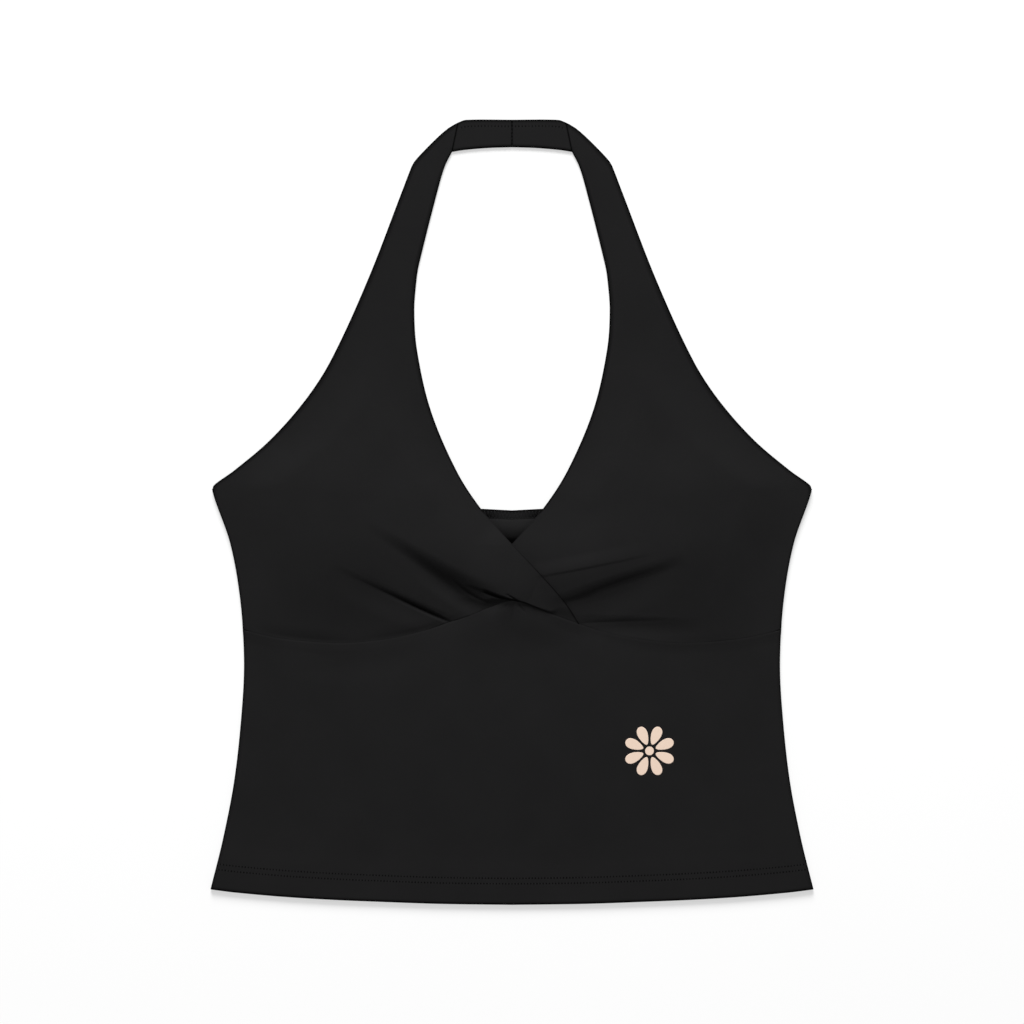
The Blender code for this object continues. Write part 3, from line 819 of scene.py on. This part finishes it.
midriffCut = {
    "flat": (0.386, 0.196),
    "rowSpacing": (0.8, 1.7, 0.65),     # below the seam, in the middle and above the hem
    "centreEnds": (12, 25),     # how far out the finer middle ends, and in what width
    "seamRidge": 0.06,      # the seam allowance under the top edge lifts it by this
    "seamRidgeAt": 1.1,     # this far below the edge
    "seamRidgeWidth": 0.9,
    "stitchRows": (13.5, 17.0),     # from the bottom edge
    "stitchSink": 0.015,
    "seamDip": [
        (-165, 0.0), (-110, 0.15), (-60, 0.45), (-45, 0.5), (-25, 0.4), (-12, 0.3), (-3, 0.1),
        (5, 0.0), (12, 0.15), (20, 0.3), (32, 0.1), (41, 0.05), (50, 0.6), (60, 0.6), (80, 0.3),
        (120, 0.15), (165, 0.0)],
    "seamDipRun": 9.0,
    # painted light: how much lighter the cloth is made close under the seam, and further down under its
    # peak, where the panels above shade it
    "seamLight": [
        (-172, 0.0), (-150, 0.1), (-104, 0.14), (-72, 0.16), (-52, 0.22), (-40, 0.25), (-20, 0.22),
        (-11, 0.7), (-5, 0.9), (0, 0.9), (5, 0.6), (11, 0.05), (18, 0.2), (24, 0.1), (31, 0.05),
        (50, 0.05), (90, 0.0), (172, 0.0)],
    "seamLightRun": 5.0,
    "peakLight": [
        (-60, 0.0), (-30, 0.1), (-20, 0.14), (-8, 0.24), (0, 0.22), (20, 0.17), (40, 0.11), (62, 0.0)],
    "peakLightRun": 24.0,
}
backCut = {
    "flat": (0.386, 0.267),
    "rowSpacing": (0.55, 2.6, 0.65),
    "centreEnds": (24, 20),
    "topStitchRows": (1.4, 5.4),    # from the top edge
    "stitchSink": 0.3,
    # the light that gets down between the panels, by the height above their crossing
    "neckShade": [
        (-16, 1), (-4, 0.05), (0, 0.05), (3.2, 0.1), (5, 0.45), (8.5, 0.85), (12, 1.2),
        (16, 1.35)],
    "rimLight": 0.9,                # the share of it beside the neckline
    "rimEnds": (0, 5),
    "hemStarts": (0.8, 0.5),        # painted shade inside the top hem, between its threads, from the top edge
    "hemEnds": (5.6, 0.5),
    "hemDark": (0.35, 0.85),        # what is lost there at the centre, and further out
    "hemDarkGrows": (5, 12),
    "hemTopDark": 0.7,              # its upper part loses this share of that
    "hemTopEnds": (1.5, 3),
    "highlightLine": (6.6, 0.5, 0.12),  # a painted highlight along the line under it: its place, width and strength
    "shadeEnds": (26, 14),          # how far out all of this ends, under the panels
}


def acrossBody(lines, spacings, columnSpacing):
    # rows across the body, on and between lines that give the height at a share of the width
    rows = []
    for part, (upper, lower) in enumerate(zip(lines, lines[1:])):
        length = float(upper(1.0) - lower(1.0))
        if part == 0 or part == len(lines) - 2:
            downs = spacedBetween(length, lambda down: spacings[part] + 0 * down)
            downs = openEnd(downs) if part == 0 else openStart(downs)
        else:
            downs = np.linspace(0, length, max(2, math.ceil(length / spacings[part]) + 1))
        for down in downs[1 if rows else 0:]:
            share = down / length
            width = widthAt(mixed(float(upper(1.0)), float(lower(1.0)), share))
            s = spacedBetween(2 * width, lambda s: columnSpacing(s - width))
            x = s - width
            y = mixed(upper(x / width), lower(x / width), share)
            rows.append({"x": x, "y": y, "start": s, "end": 2 * width - s, "u": x, "v": y})
    firstY, lastY = lines[0], lines[-1]
    for row in rows:
        halfs = row["x"] / np.abs(row["x"][0])
        row["first"] = np.maximum(0, firstY(halfs) - row["y"])
        row["last"] = np.maximum(0, row["y"] - lastY(halfs))
    rows[0]["first"] = 0 * rows[0]["x"]
    rows[-1]["last"] = 0 * rows[-1]["x"]
    return rows


def lineOver(line, up=0):
    # the height over a line of the outline, at a share of its half width
    rows = outline[line]
    return lambda share: onLine(rows, np.abs(np.asarray(share) * rows[-1][0])) + up


def columnsFor(centre, sides, ends):
    # the spacing of the points in a row, finer in the middle of the body
    return lambda x: mixed(shellDetail[centre], shellDetail[sides], pastStep(np.abs(x), ends))


def rimsFor(sides, first, last):
    return {
        "start": edges[sides], "end": edges[sides], "first": edges[first], "last": edges[last]}


def grooveAt(distance):
    return np.exp(-(distance / cloth["grooveWidth"]) ** 2)


def stitchGroove(distance, rows, depth):
    return sum((-depth * grooveAt(distance - row) for row in rows), 0 * distance)


def midriffRelief(x, y):
    fromSeam = underbust(x) - y
    fromHem = y - hemLine(x)
    fromRidge = (fromSeam - midriffCut["seamRidgeAt"]) / midriffCut["seamRidgeWidth"]
    ridge = midriffCut["seamRidge"] * np.exp(-fromRidge ** 2)
    dip = seamDip(midriffCut["seamDip"], midriffCut["seamDipRun"], x, y)
    return ridge - dip + stitchGroove(fromHem, midriffCut["stitchRows"], midriffCut["stitchSink"])


def midriffTop(x, y):
    return midriffUnder(x, y) + midriffWall(x, y) + midriffRelief(x, y)


def makeMidriff():
    lines = [
        lineOver("underbust", cloth["seamMeet"] / 2),
        lineOver("underbust", -shellDetail["seamZone"]),
        lineOver("hem", shellDetail["hemZone"]), lineOver("hem")]
    columns = columnsFor("midriffCentre", "midriff", midriffCut["centreEnds"])
    rows = acrossBody(lines, midriffCut["rowSpacing"], columns)

    def lightAt(x, y):
        # painted light under the seam and its peak, against the panels' shadow, and painted shade in the
        # creases
        creases = [fold for fold in midriffFolds if fold[-1] == "sharp"]
        fromSeam = np.maximum(0, underbust(x) - y)
        near = np.exp(-(fromSeam / midriffCut["seamLightRun"]) ** 2)
        far = 1 - eased(fromSeam / midriffCut["peakLightRun"])
        lighter = onLine(midriffCut["seamLight"], x) * near + onLine(midriffCut["peakLight"], x) * far
        return creaseShade(creases, [], x, y) * (1 + lighter)

    return makeShell("midriff", "midriff_front", rows, midriffUnder, midriffWall, midriffRelief,
                     rimsFor("sideAbove", "midriff", "free"), lightAt)


def backUnder(x, y):
    # the stitching draws small grooves into the side that lies on the surface
    bottom = stitchGroove(y - hemLine(x), midriffCut["stitchRows"], -backCut["stitchSink"])
    return bottom + stitchGroove(backTop(x) - y, backCut["topStitchRows"], -backCut["stitchSink"])


def backThickness(x, y):
    return backWall(x, y) - backUnder(x, y)


def makeBack():
    hemEnd = cloth["backTopHem"] + cloth["hemStep"]
    lines = [
        lineOver("backTop"), lineOver("backTop", -hemEnd),
        lineOver("hem", shellDetail["hemZone"]), lineOver("hem")]
    columns = columnsFor("backCentre", "back", backCut["centreEnds"])
    rows = acrossBody(lines, backCut["rowSpacing"], columns)

    def lightAt(x, y):
        # painted shade: darker down in the point of the neck and between the threads of the top hem,
        # with a painted highlight under the hem
        tip = onLine(backCut["neckShade"], y - crossing)
        fromEdge = np.maximum(0, leftNeckline(np.maximum(y, crossing))) - np.abs(x)
        rim = mixed(backCut["rimLight"], 1, pastStep(fromEdge, backCut["rimEnds"]))
        fromTop = backTop(x) - y
        inHem = pastStep(fromTop, backCut["hemStarts"]) * (1 - pastStep(fromTop, backCut["hemEnds"]))
        dark = mixed(*backCut["hemDark"], pastStep(np.abs(x), backCut["hemDarkGrows"]))
        dark = dark * mixed(backCut["hemTopDark"], 1, pastStep(fromTop, backCut["hemTopEnds"]))
        place, width, strength = backCut["highlightLine"]
        line = strength * np.exp(-((fromTop - place) / width) ** 2)
        shown = tip * rim * (1 - dark * inHem + line)
        return mixed(shown, 1, pastStep(np.abs(x), backCut["shadeEnds"]))

    return makeShell("back", "back_panel", rows, backUnder, backThickness, noRelief,
                     rimsFor("sideBelow", "free", "free"), lightAt)


midriff = makeMidriff()
back = makeBack()
print("midriff and back made:", len(midriff.data.polygons), len(back.data.polygons))

bandCut = {
    "flat": (0.038, 0.021),
    "spacing": 0.7,
    "stitchRow": 4.3,       # from the top edge
    "stitchRowEnd": 4.5,    # and at its ends, near the straps
    "endsFrom": (22, 10),
    "stitchSink": 0.06,
    "edgeRow": 0.8,         # the row along the top edge, its width and how much less it sinks
    "edgeRowWidth": 0.3,
    "edgeRowSink": 0.6,
}


def bandTop(x):
    return onLine(outline["bandTop"], np.abs(x))


def bandRowHeight(x):
    dip = pastStep(np.abs(x), bandCut["endsFrom"])
    return bandTop(x) - mixed(bandCut["stitchRow"], bandCut["stitchRowEnd"], dip)


def bandEdgeHeight(x):
    return bandTop(x) - bandCut["edgeRow"]


def bandRelief(x, y):
    row = grooveAt(y - bandRowHeight(x))
    edge = np.exp(-((bandEdgeHeight(x) - y) / bandCut["edgeRowWidth"]) ** 2)
    return -bandCut["stitchSink"] * (row + bandCut["edgeRowSink"] * edge)


def bandRows():
    # lines down the right half, from the centre seam out to the strap
    gap = -cloth["seamMeet"] / 2
    topEnd = outline["bandTop"][-1][0] - gap
    bottomEnd = outline["bandBottom"][-1][0] - gap
    alongs = spacedBetween(topEnd - gap, lambda s: bandCut["spacing"] + 0 * s)
    rows = []
    for along in alongs:
        share = along / (topEnd - gap)
        top = np.array([mixed(gap, topEnd, share)])
        bottom = np.array([mixed(gap, bottomEnd, share)])
        topY = float(onLine(outline["bandTop"], top)[0])
        bottomY = float(onLine(outline["bandBottom"], bottom)[0])
        length = math.hypot(topY - bottomY, float(bottom[0] - top[0]))
        s = spacedBetween(length, lambda s: bandCut["spacing"] + 0 * s)
        x = mixed(float(top[0]), float(bottom[0]), s / length)
        y = mixed(topY, bottomY, s / length)
        rows.append({"x": x, "y": y, "start": s, "end": length - s, "first": along + 0 * s,
                     "last": alongs[-1] - along + 0 * s, "u": x, "v": y})
    return rows


def neckBand(name, node, rows):
    return makeShell(name, node, rows, noRelief, doubleWall, bandRelief,
                     rimsFor("free", "centreSeam", "join"))


bandRight = neckBand("bandRight", "neck_band_right", bandRows())
bandLeft = neckBand("bandLeft", "neck_band_left", mirroredRows(bandRows()))
print("neck band made")

stitchLook = {
    "hemPitch": 1.99,
    "bandPitch": 2.1,
    "stitch": (1.0, 0.45, 0.1),         # length, width and height
    "holeShadow": (0.92, 1.15, 0.2),          # a near-black bead at each end of a stitch, painted as the shadow in its needle hole
    "loop": (1.5, 0.34, 0.26),
    "uneven": (0.86, 1.12),             # between these, a stitch's size varies
    "sides": 6,                         # of a thread's section
    "beadRings": 4,
    "sideGap": 1.2,                     # the hem's rows end this far from the sides
    "backTopReach": 189,                # and the back's top ones this far from its centre
    "rowPoints": 260,
    "looperPitch": 2.2,
    "looperWidth": 4.2,
    "looperRadius": 0.27,
    "looperLift": 0.08,                 # over the back's top hem
    "chainLift": 0.05,
    "surfaceGap": 0.03,                 # between the back's stitches and the surface
    "bandStart": 1.2,                   # the band's rows start this far from its centre
    "bandReach": 33.2,                  # and end here
    "edgeReach": 31.0,                  # the one along its top edge ends sooner and lies lower
    "edgeSink": 0.02,
    "bandPoints": 40,
    "centreEnds": (234.2, 250.4),       # the stitches down the band's centre-back seam
    "centrePoints": 12,
    "centrePitch": 2.3,
    "centreLift": 1.35,
    "centreSway": 0.12,                 # how far they stray to the sides
    "centreTurns": 1.7,                 # and how often, in radians a millimetre
}


def startTree(name, numbers, result):
    # a tree that takes a line, named numbers and a thread
    tree = bpy.data.node_groups.new(name, "GeometryNodeTree")
    for socket, kind in [("Line", "Geometry"), *numbers, ("Thread", "Material")]:
        tree.interface.new_socket(socket, in_out="INPUT", socket_type="NodeSocket" + kind)
    tree.interface.new_socket(result, in_out="OUTPUT", socket_type="NodeSocketGeometry")
    return tree, tree.nodes.new("NodeGroupInput").outputs


def spacedAlong(tree, line, length):
    curve = addNode(tree, "GeometryNodeMeshToCurve", {"Mesh": line})
    return addNode(tree, "GeometryNodeResampleCurve",
                   {"Curve": curve.outputs["Curve"], "Length": length}, mode="LENGTH")


def endTree(tree, geometry, material):
    # real geometry, smooth and of that material
    real = addNode(tree, "GeometryNodeRealizeInstances", {"Geometry": geometry})
    smooth = addNode(tree, "GeometryNodeSetShadeSmooth", {"Geometry": real.outputs[0]})
    colored = addNode(tree, "GeometryNodeSetMaterial",
                      {"Geometry": smooth.outputs[0], "Material": material})
    out = tree.nodes.new("NodeGroupOutput")
    tree.links.new(colored.outputs[0], out.inputs[0])
    return tree


def stitchTree():
    # small rounded stitches, end to end along a line
    tree, given = startTree("stitchRow", [
        ("Pitch", "Float"), ("Stitch Length", "Float"), ("Stitch Width", "Float"),
        ("Stitch Height", "Float"), ("Seed", "Int")], "Stitches")
    spaced = spacedAlong(tree, given["Line"], given["Pitch"])
    tangent = addNode(tree, "GeometryNodeInputTangent")
    turned = addNode(tree, "FunctionNodeAlignRotationToVector", {"Vector": tangent.outputs[0]}, axis="X")
    bead = addNode(tree, "GeometryNodeMeshUVSphere", {
        "Segments": stitchLook["sides"], "Rings": stitchLook["beadRings"], "Radius": 0.5})
    size = addNode(tree, "ShaderNodeCombineXYZ", {
        0: given["Stitch Length"], 1: given["Stitch Width"], 2: given["Stitch Height"]})
    least, most = stitchLook["uneven"]
    uneven = addNode(tree, "FunctionNodeRandomValue", {2: least, 3: most, "Seed": given["Seed"]})
    scaled = addNode(tree, "ShaderNodeVectorMath", {0: size.outputs[0], "Scale": uneven.outputs[1]},
                     operation="SCALE")
    placed = addNode(tree, "GeometryNodeInstanceOnPoints", {
        "Points": spaced.outputs["Curve"], "Instance": bead.outputs["Mesh"],
        "Rotation": turned.outputs[0], "Scale": scaled.outputs[0]})
    return endTree(tree, placed.outputs[0], given["Thread"])


def looperTree():
    # one thread that runs to and fro across a line
    tree, given = startTree("looperThread", [
        ("Pitch", "Float"), ("Zigzag Width", "Float"), ("Thread Radius", "Float")], "Thread Loops")
    spaced = spacedAlong(tree, given["Line"], maths(tree, "MULTIPLY", given["Pitch"], 0.5))
    index = addNode(tree, "GeometryNodeInputIndex")
    parity = maths(tree, "MODULO", index.outputs[0], 2.0)
    side = maths(tree, "SUBTRACT", parity, 0.5)
    tangent = addNode(tree, "GeometryNodeInputTangent")
    sideways = addNode(tree, "ShaderNodeVectorMath", {0: tangent.outputs[0], 1: (0, 0, 1)},
                       operation="CROSS_PRODUCT")
    across = maths(tree, "MULTIPLY", side, given["Zigzag Width"])
    offset = addNode(tree, "ShaderNodeVectorMath", {0: sideways.outputs[0], "Scale": across},
                     operation="SCALE")
    moved = addNode(tree, "GeometryNodeSetPosition",
                    {"Geometry": spaced.outputs["Curve"], "Offset": offset.outputs[0]})
    ring = addNode(tree, "GeometryNodeCurvePrimitiveCircle",
                   {"Resolution": stitchLook["sides"], "Radius": given["Thread Radius"]})
    tube = addNode(tree, "GeometryNodeCurveToMesh", {
        "Curve": moved.outputs[0], "Profile Curve": ring.outputs["Curve"], "Fill Caps": True})
    return endTree(tree, tube.outputs[0], given["Thread"])


stitchRow = stitchTree()
looperThread = looperTree()


def linesMesh(name, lines):
    # a mesh of edges along each line of (x, y, z) points
    points = []
    pairs = []
    for x, y, z in lines:
        first = len(points)
        points += (np.column_stack([x, y, z]) * mm).tolist()
        pairs += [(first + i, first + i + 1) for i in range(len(x) - 1)]
    mesh = bpy.data.meshes.new(name)
    mesh.from_pydata(points, pairs, [])
    return mesh


def grown(name, tree, lines, values):
    # the tree's result along those lines, as a plain mesh at the origin
    maker = addObject(name + "Lines", linesMesh(name + "Lines", lines))
    modifier = maker.modifiers.new("grow", "NODES")
    modifier.node_group = tree
    for item in tree.interface.items_tree:
        if item.in_out == "INPUT" and item.name in values:
            modifier[item.identifier] = values[item.name]
    evaluated = maker.evaluated_get(bpy.context.evaluated_depsgraph_get())
    mesh = bpy.data.meshes.new_from_object(evaluated)
    mesh.name = name
    maker.modifiers.remove(modifier)
    bpy.data.objects.remove(maker, do_unlink=True)
    piece = addObject(name, mesh)
    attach(piece, "root")
    return piece


def stitches(name, lines, pitch, seed, kind="stitch"):
    length, width, height = stitchLook[kind]
    return grown(name, stitchRow, lines, {
        "Pitch": pitch * mm, "Stitch Length": length * mm, "Stitch Width": width * mm,
        "Stitch Height": height * mm, "Seed": seed, "Thread": holeShadow if kind == "holeShadow" else thread})


def hemRow(up, level, shift=0):
    # a row of stitches along the hem, and with a shift the painted needle-hole shadows between them
    y = outline["side"][0][0] + up
    reach = widthAt(y) - stitchLook["sideGap"] - shift
    x = np.linspace(-reach, reach, stitchLook["rowPoints"])
    return x, hemLine(x) + up, level(x, hemLine(x) + up)


def backTopRow(down, level):
    reach = stitchLook["backTopReach"]
    x = np.linspace(-reach, reach, stitchLook["rowPoints"])
    return x, backTop(x) - down, level(x, backTop(x) - down)


def onSurface(x, y):
    # in the grooves of the back's underside, and just clear of the surface
    return stitchLook["stitch"][2] / 2 + stitchLook["surfaceGap"] + 0 * x


def overBack(lift):
    return lambda x, y: backWall(x, y) + lift


def bandStitchLines(shift=0):
    # on each half, a row across the band and one along its top edge
    rows = [(stitchLook["bandReach"], bandRowHeight, 0),
            (stitchLook["edgeReach"], bandEdgeHeight, stitchLook["edgeSink"])]
    lines = []
    for side in (-1, 1):
        for reach, height, sink in rows:
            x = np.linspace(stitchLook["bandStart"] + shift, reach - shift, stitchLook["bandPoints"])
            x = side * x
            lines.append((x, height(x), cloth["double"] + bandRelief(x, height(x)) - sink))
    return lines


def centreLine():
    # down the centre-back seam, a little to and fro
    y = np.linspace(*stitchLook["centreEnds"], stitchLook["centrePoints"])
    x = stitchLook["centreSway"] * np.sin(y * stitchLook["centreTurns"])
    return x, y, stitchLook["centreLift"] + 0 * y


hemRows = midriffCut["stitchRows"]
topRows = backCut["topStitchRows"]
hemPitch, bandPitch = stitchLook["hemPitch"], stitchLook["bandPitch"]
frontHemStitches = stitches(
    "frontHemStitches", [hemRow(up, midriffTop) for up in hemRows], hemPitch, seed=3)
frontHemHoleShadows = stitches(
    "frontHemHoleShadows", [hemRow(up, midriffTop, hemPitch / 2) for up in hemRows], hemPitch,
    seed=4, kind="holeShadow")
backStitches = stitches(
    "backStitches",
    [hemRow(up, onSurface) for up in hemRows] + [backTopRow(down, onSurface) for down in topRows],
    hemPitch, seed=5)
backLooper = grown(
    "backLooper", looperThread, [backTopRow(sum(topRows) / 2, overBack(stitchLook["looperLift"]))],
    {"Pitch": stitchLook["looperPitch"] * mm, "Zigzag Width": stitchLook["looperWidth"] * mm,
     "Thread Radius": stitchLook["looperRadius"] * mm, "Thread": paleThread})
backTopChains = stitches(
    "backTopChains", [backTopRow(down, overBack(stitchLook["chainLift"])) for down in topRows],
    stitchLook["looperPitch"], seed=7, kind="loop")
bandStitches = stitches("bandStitches", bandStitchLines(), bandPitch, seed=9)
bandHoleShadows = stitches(
    "bandHoleShadows", bandStitchLines(bandPitch / 2), bandPitch, seed=10, kind="holeShadow")
centreStitches = stitches(
    "centreStitches", [centreLine()], stitchLook["centrePitch"], seed=11, kind="loop")
print("stitching made")

flower = {
    "x": 87.8, "y": -152.5, "across": 33.0,
    "petals": 8,
    "petalWidth": 0.496,                # share of the room that a petal has
    "petalBulge": 0.35,                 # how much wider it is towards its outer end
    "petalStart": 0.26,
    "heart": 0.17,                      # radius of the middle, as a share of the flower's
    "film": 0.08,                       # thickness
    "pressedIn": 0.05,                  # how far it reaches into the cloth
    "rimDrop": 0.7,                     # how much lower its rim is, as a share of the film
    "flatPart": 0.96,                   # the share of a shape inside its rim
    "heartMesh": (3, 28),               # rings, and points in a ring
    "petalMesh": (4, 32),
}


def printPatch(points, faces, outlineShape, rings, around):
    # a filled shape on the midriff, as a thin film: outlineShape gives (x, y) at an angle share
    angles = np.arange(around) / around
    shares = [*np.linspace(0, flower["flatPart"], rings), 1]
    edgeX, edgeY, midX, midY = outlineShape(angles)
    first = len(points)
    for side, lift in ((0, flower["film"]), (1, -flower["pressedIn"])):
        for ring, share in enumerate(shares):
            x = mixed(midX, edgeX, share)
            y = mixed(midY, edgeY, share)
            if ring == 0:
                x, y = np.array([midX]), np.array([midY])
            rim = flower["film"] * flower["rimDrop"] if (ring == rings and side == 0) else 0
            z = midriffTop(x, y) + lift - rim
            points += (np.column_stack([x, y, z]) * mm).tolist()
    layer = 1 + rings * around
    for side in (0, 1):
        base = first + side * layer
        for i in range(around):
            j = (i + 1) % around
            triangle = (base, base + 1 + i, base + 1 + j)
            faces.append(triangle if side == 0 else triangle[::-1])
            for ring in range(rings - 1):
                a = base + 1 + ring * around
                b = a + around
                quad = (a + i, b + i, b + j, a + j)
                faces.append(quad if side == 0 else quad[::-1])
    topRim = first + 1 + (rings - 1) * around
    for i in range(around):
        j = (i + 1) % around
        faces.append((topRim + i, topRim + layer + i, topRim + layer + j, topRim + j))


def makeFlower():
    radius = flower["across"] / 2
    midX, midY = flower["x"], flower["y"]
    points = []
    faces = []

    def heart(angles):
        turn = 2 * math.pi * angles
        size = radius * flower["heart"]
        return midX + size * np.cos(turn), midY + size * np.sin(turn), midX, midY

    printPatch(points, faces, heart, *flower["heartMesh"])
    for petal in range(flower["petals"]):
        heading = 2 * math.pi * (petal + 0.5) / flower["petals"]
        inner = radius * flower["petalStart"]
        middle = (inner + radius) / 2
        halfLong = (radius - inner) / 2
        halfWide = flower["petalWidth"] * radius * math.sin(math.pi / flower["petals"])
        outX, outY = math.cos(heading), math.sin(heading)

        def shape(angles):
            turn = 2 * math.pi * angles
            out = halfLong * np.cos(turn)
            wide = halfWide * np.sin(turn) * (1 + flower["petalBulge"] * np.cos(turn))
            x = midX + (middle + out) * outX - wide * outY
            y = midY + (middle + out) * outY + wide * outX
            return x, y, midX + middle * outX, midY + middle * outY

        printPatch(points, faces, shape, *flower["petalMesh"])
    mesh = bpy.data.meshes.new("flowerPrint")
    mesh.from_pydata(points, [], faces)
    mesh.materials.append(peach)
    piece = finishedPiece("flowerPrint", mesh)
    mesh.shade_flat()
    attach(piece, "root")
    return piece


flowerPrint = makeFlower()
print("flower print made")

studio = {
    "lens": 85.0,
    "sensor": 36.0,
    "frameWidth": 0.6554,   # what the picture spans at the garment, in metres
    "floorSize": 6.0,
    "floorColor": (0.5, 0.5, 0.5),
    "floorPatches": 3.0,    # a little darker, so many in a metre
    "floorPatchDark": 0.01,
    "floorRoughness": 0.9,
    "floorSpecular": 0.1,
    "floorGlow": 0.53,      # a lit table, so that the shadows on it are faint
    "world": 0.3,
    "keyPower": 310.0,
    "keySize": 2.4,
    "keyPlace": (-0.3, 3.9, 2.25),
}


def makeCamera():
    low, high = [Vector(corner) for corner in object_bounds()]
    centre = (low + high) / 2
    data = bpy.data.cameras.new("camera")
    data.lens = studio["lens"]
    data.sensor_width = studio["sensor"]
    data.clip_start = 0.01
    distance = studio["frameWidth"] * studio["lens"] / studio["sensor"]
    camera = addObject("camera", data)
    camera.location = (centre.x, centre.y, distance)
    bpy.context.scene.camera = camera


def makeFloor():
    half = studio["floorSize"] / 2
    mesh = bpy.data.meshes.new("floor")
    corners = [(-half, -half, 0), (half, -half, 0), (half, half, 0), (-half, half, 0)]
    mesh.from_pydata(corners, [], [(0, 1, 2, 3)])
    floor = addObject("floor", mesh)
    material, tree, shader = newMaterial("paleFloor")
    light = studio["floorColor"]
    dark = [part - studio["floorPatchDark"] for part in light]
    feed(tree, shader, {
        "Base Color": blended(tree, noise(tree, studio["floorPatches"]), dark, light),
        "Roughness": studio["floorRoughness"], "Specular IOR Level": studio["floorSpecular"],
        "Emission Color": (1, 1, 1, 1), "Emission Strength": studio["floorGlow"]})
    mesh.materials.append(material)


def makeLight():
    world = bpy.data.worlds.new("studio")
    bpy.context.scene.world = world
    world.use_nodes = True
    feed(world.node_tree, world.node_tree.nodes["Background"], {
        "Color": (1, 1, 1, 1), "Strength": studio["world"]})
    data = bpy.data.lights.new("key", "AREA")
    data.shape = "DISK"
    data.size = studio["keySize"]
    data.energy = studio["keyPower"]
    key = addObject("key", data)
    key.location = studio["keyPlace"]
    key.rotation_euler = Vector(studio["keyPlace"]).to_track_quat("Z", "Y").to_euler()


makeCamera()
makeFloor()
makeLight()
bpy.context.scene.view_settings.view_transform = "Standard"
print("camera, light and floor made")
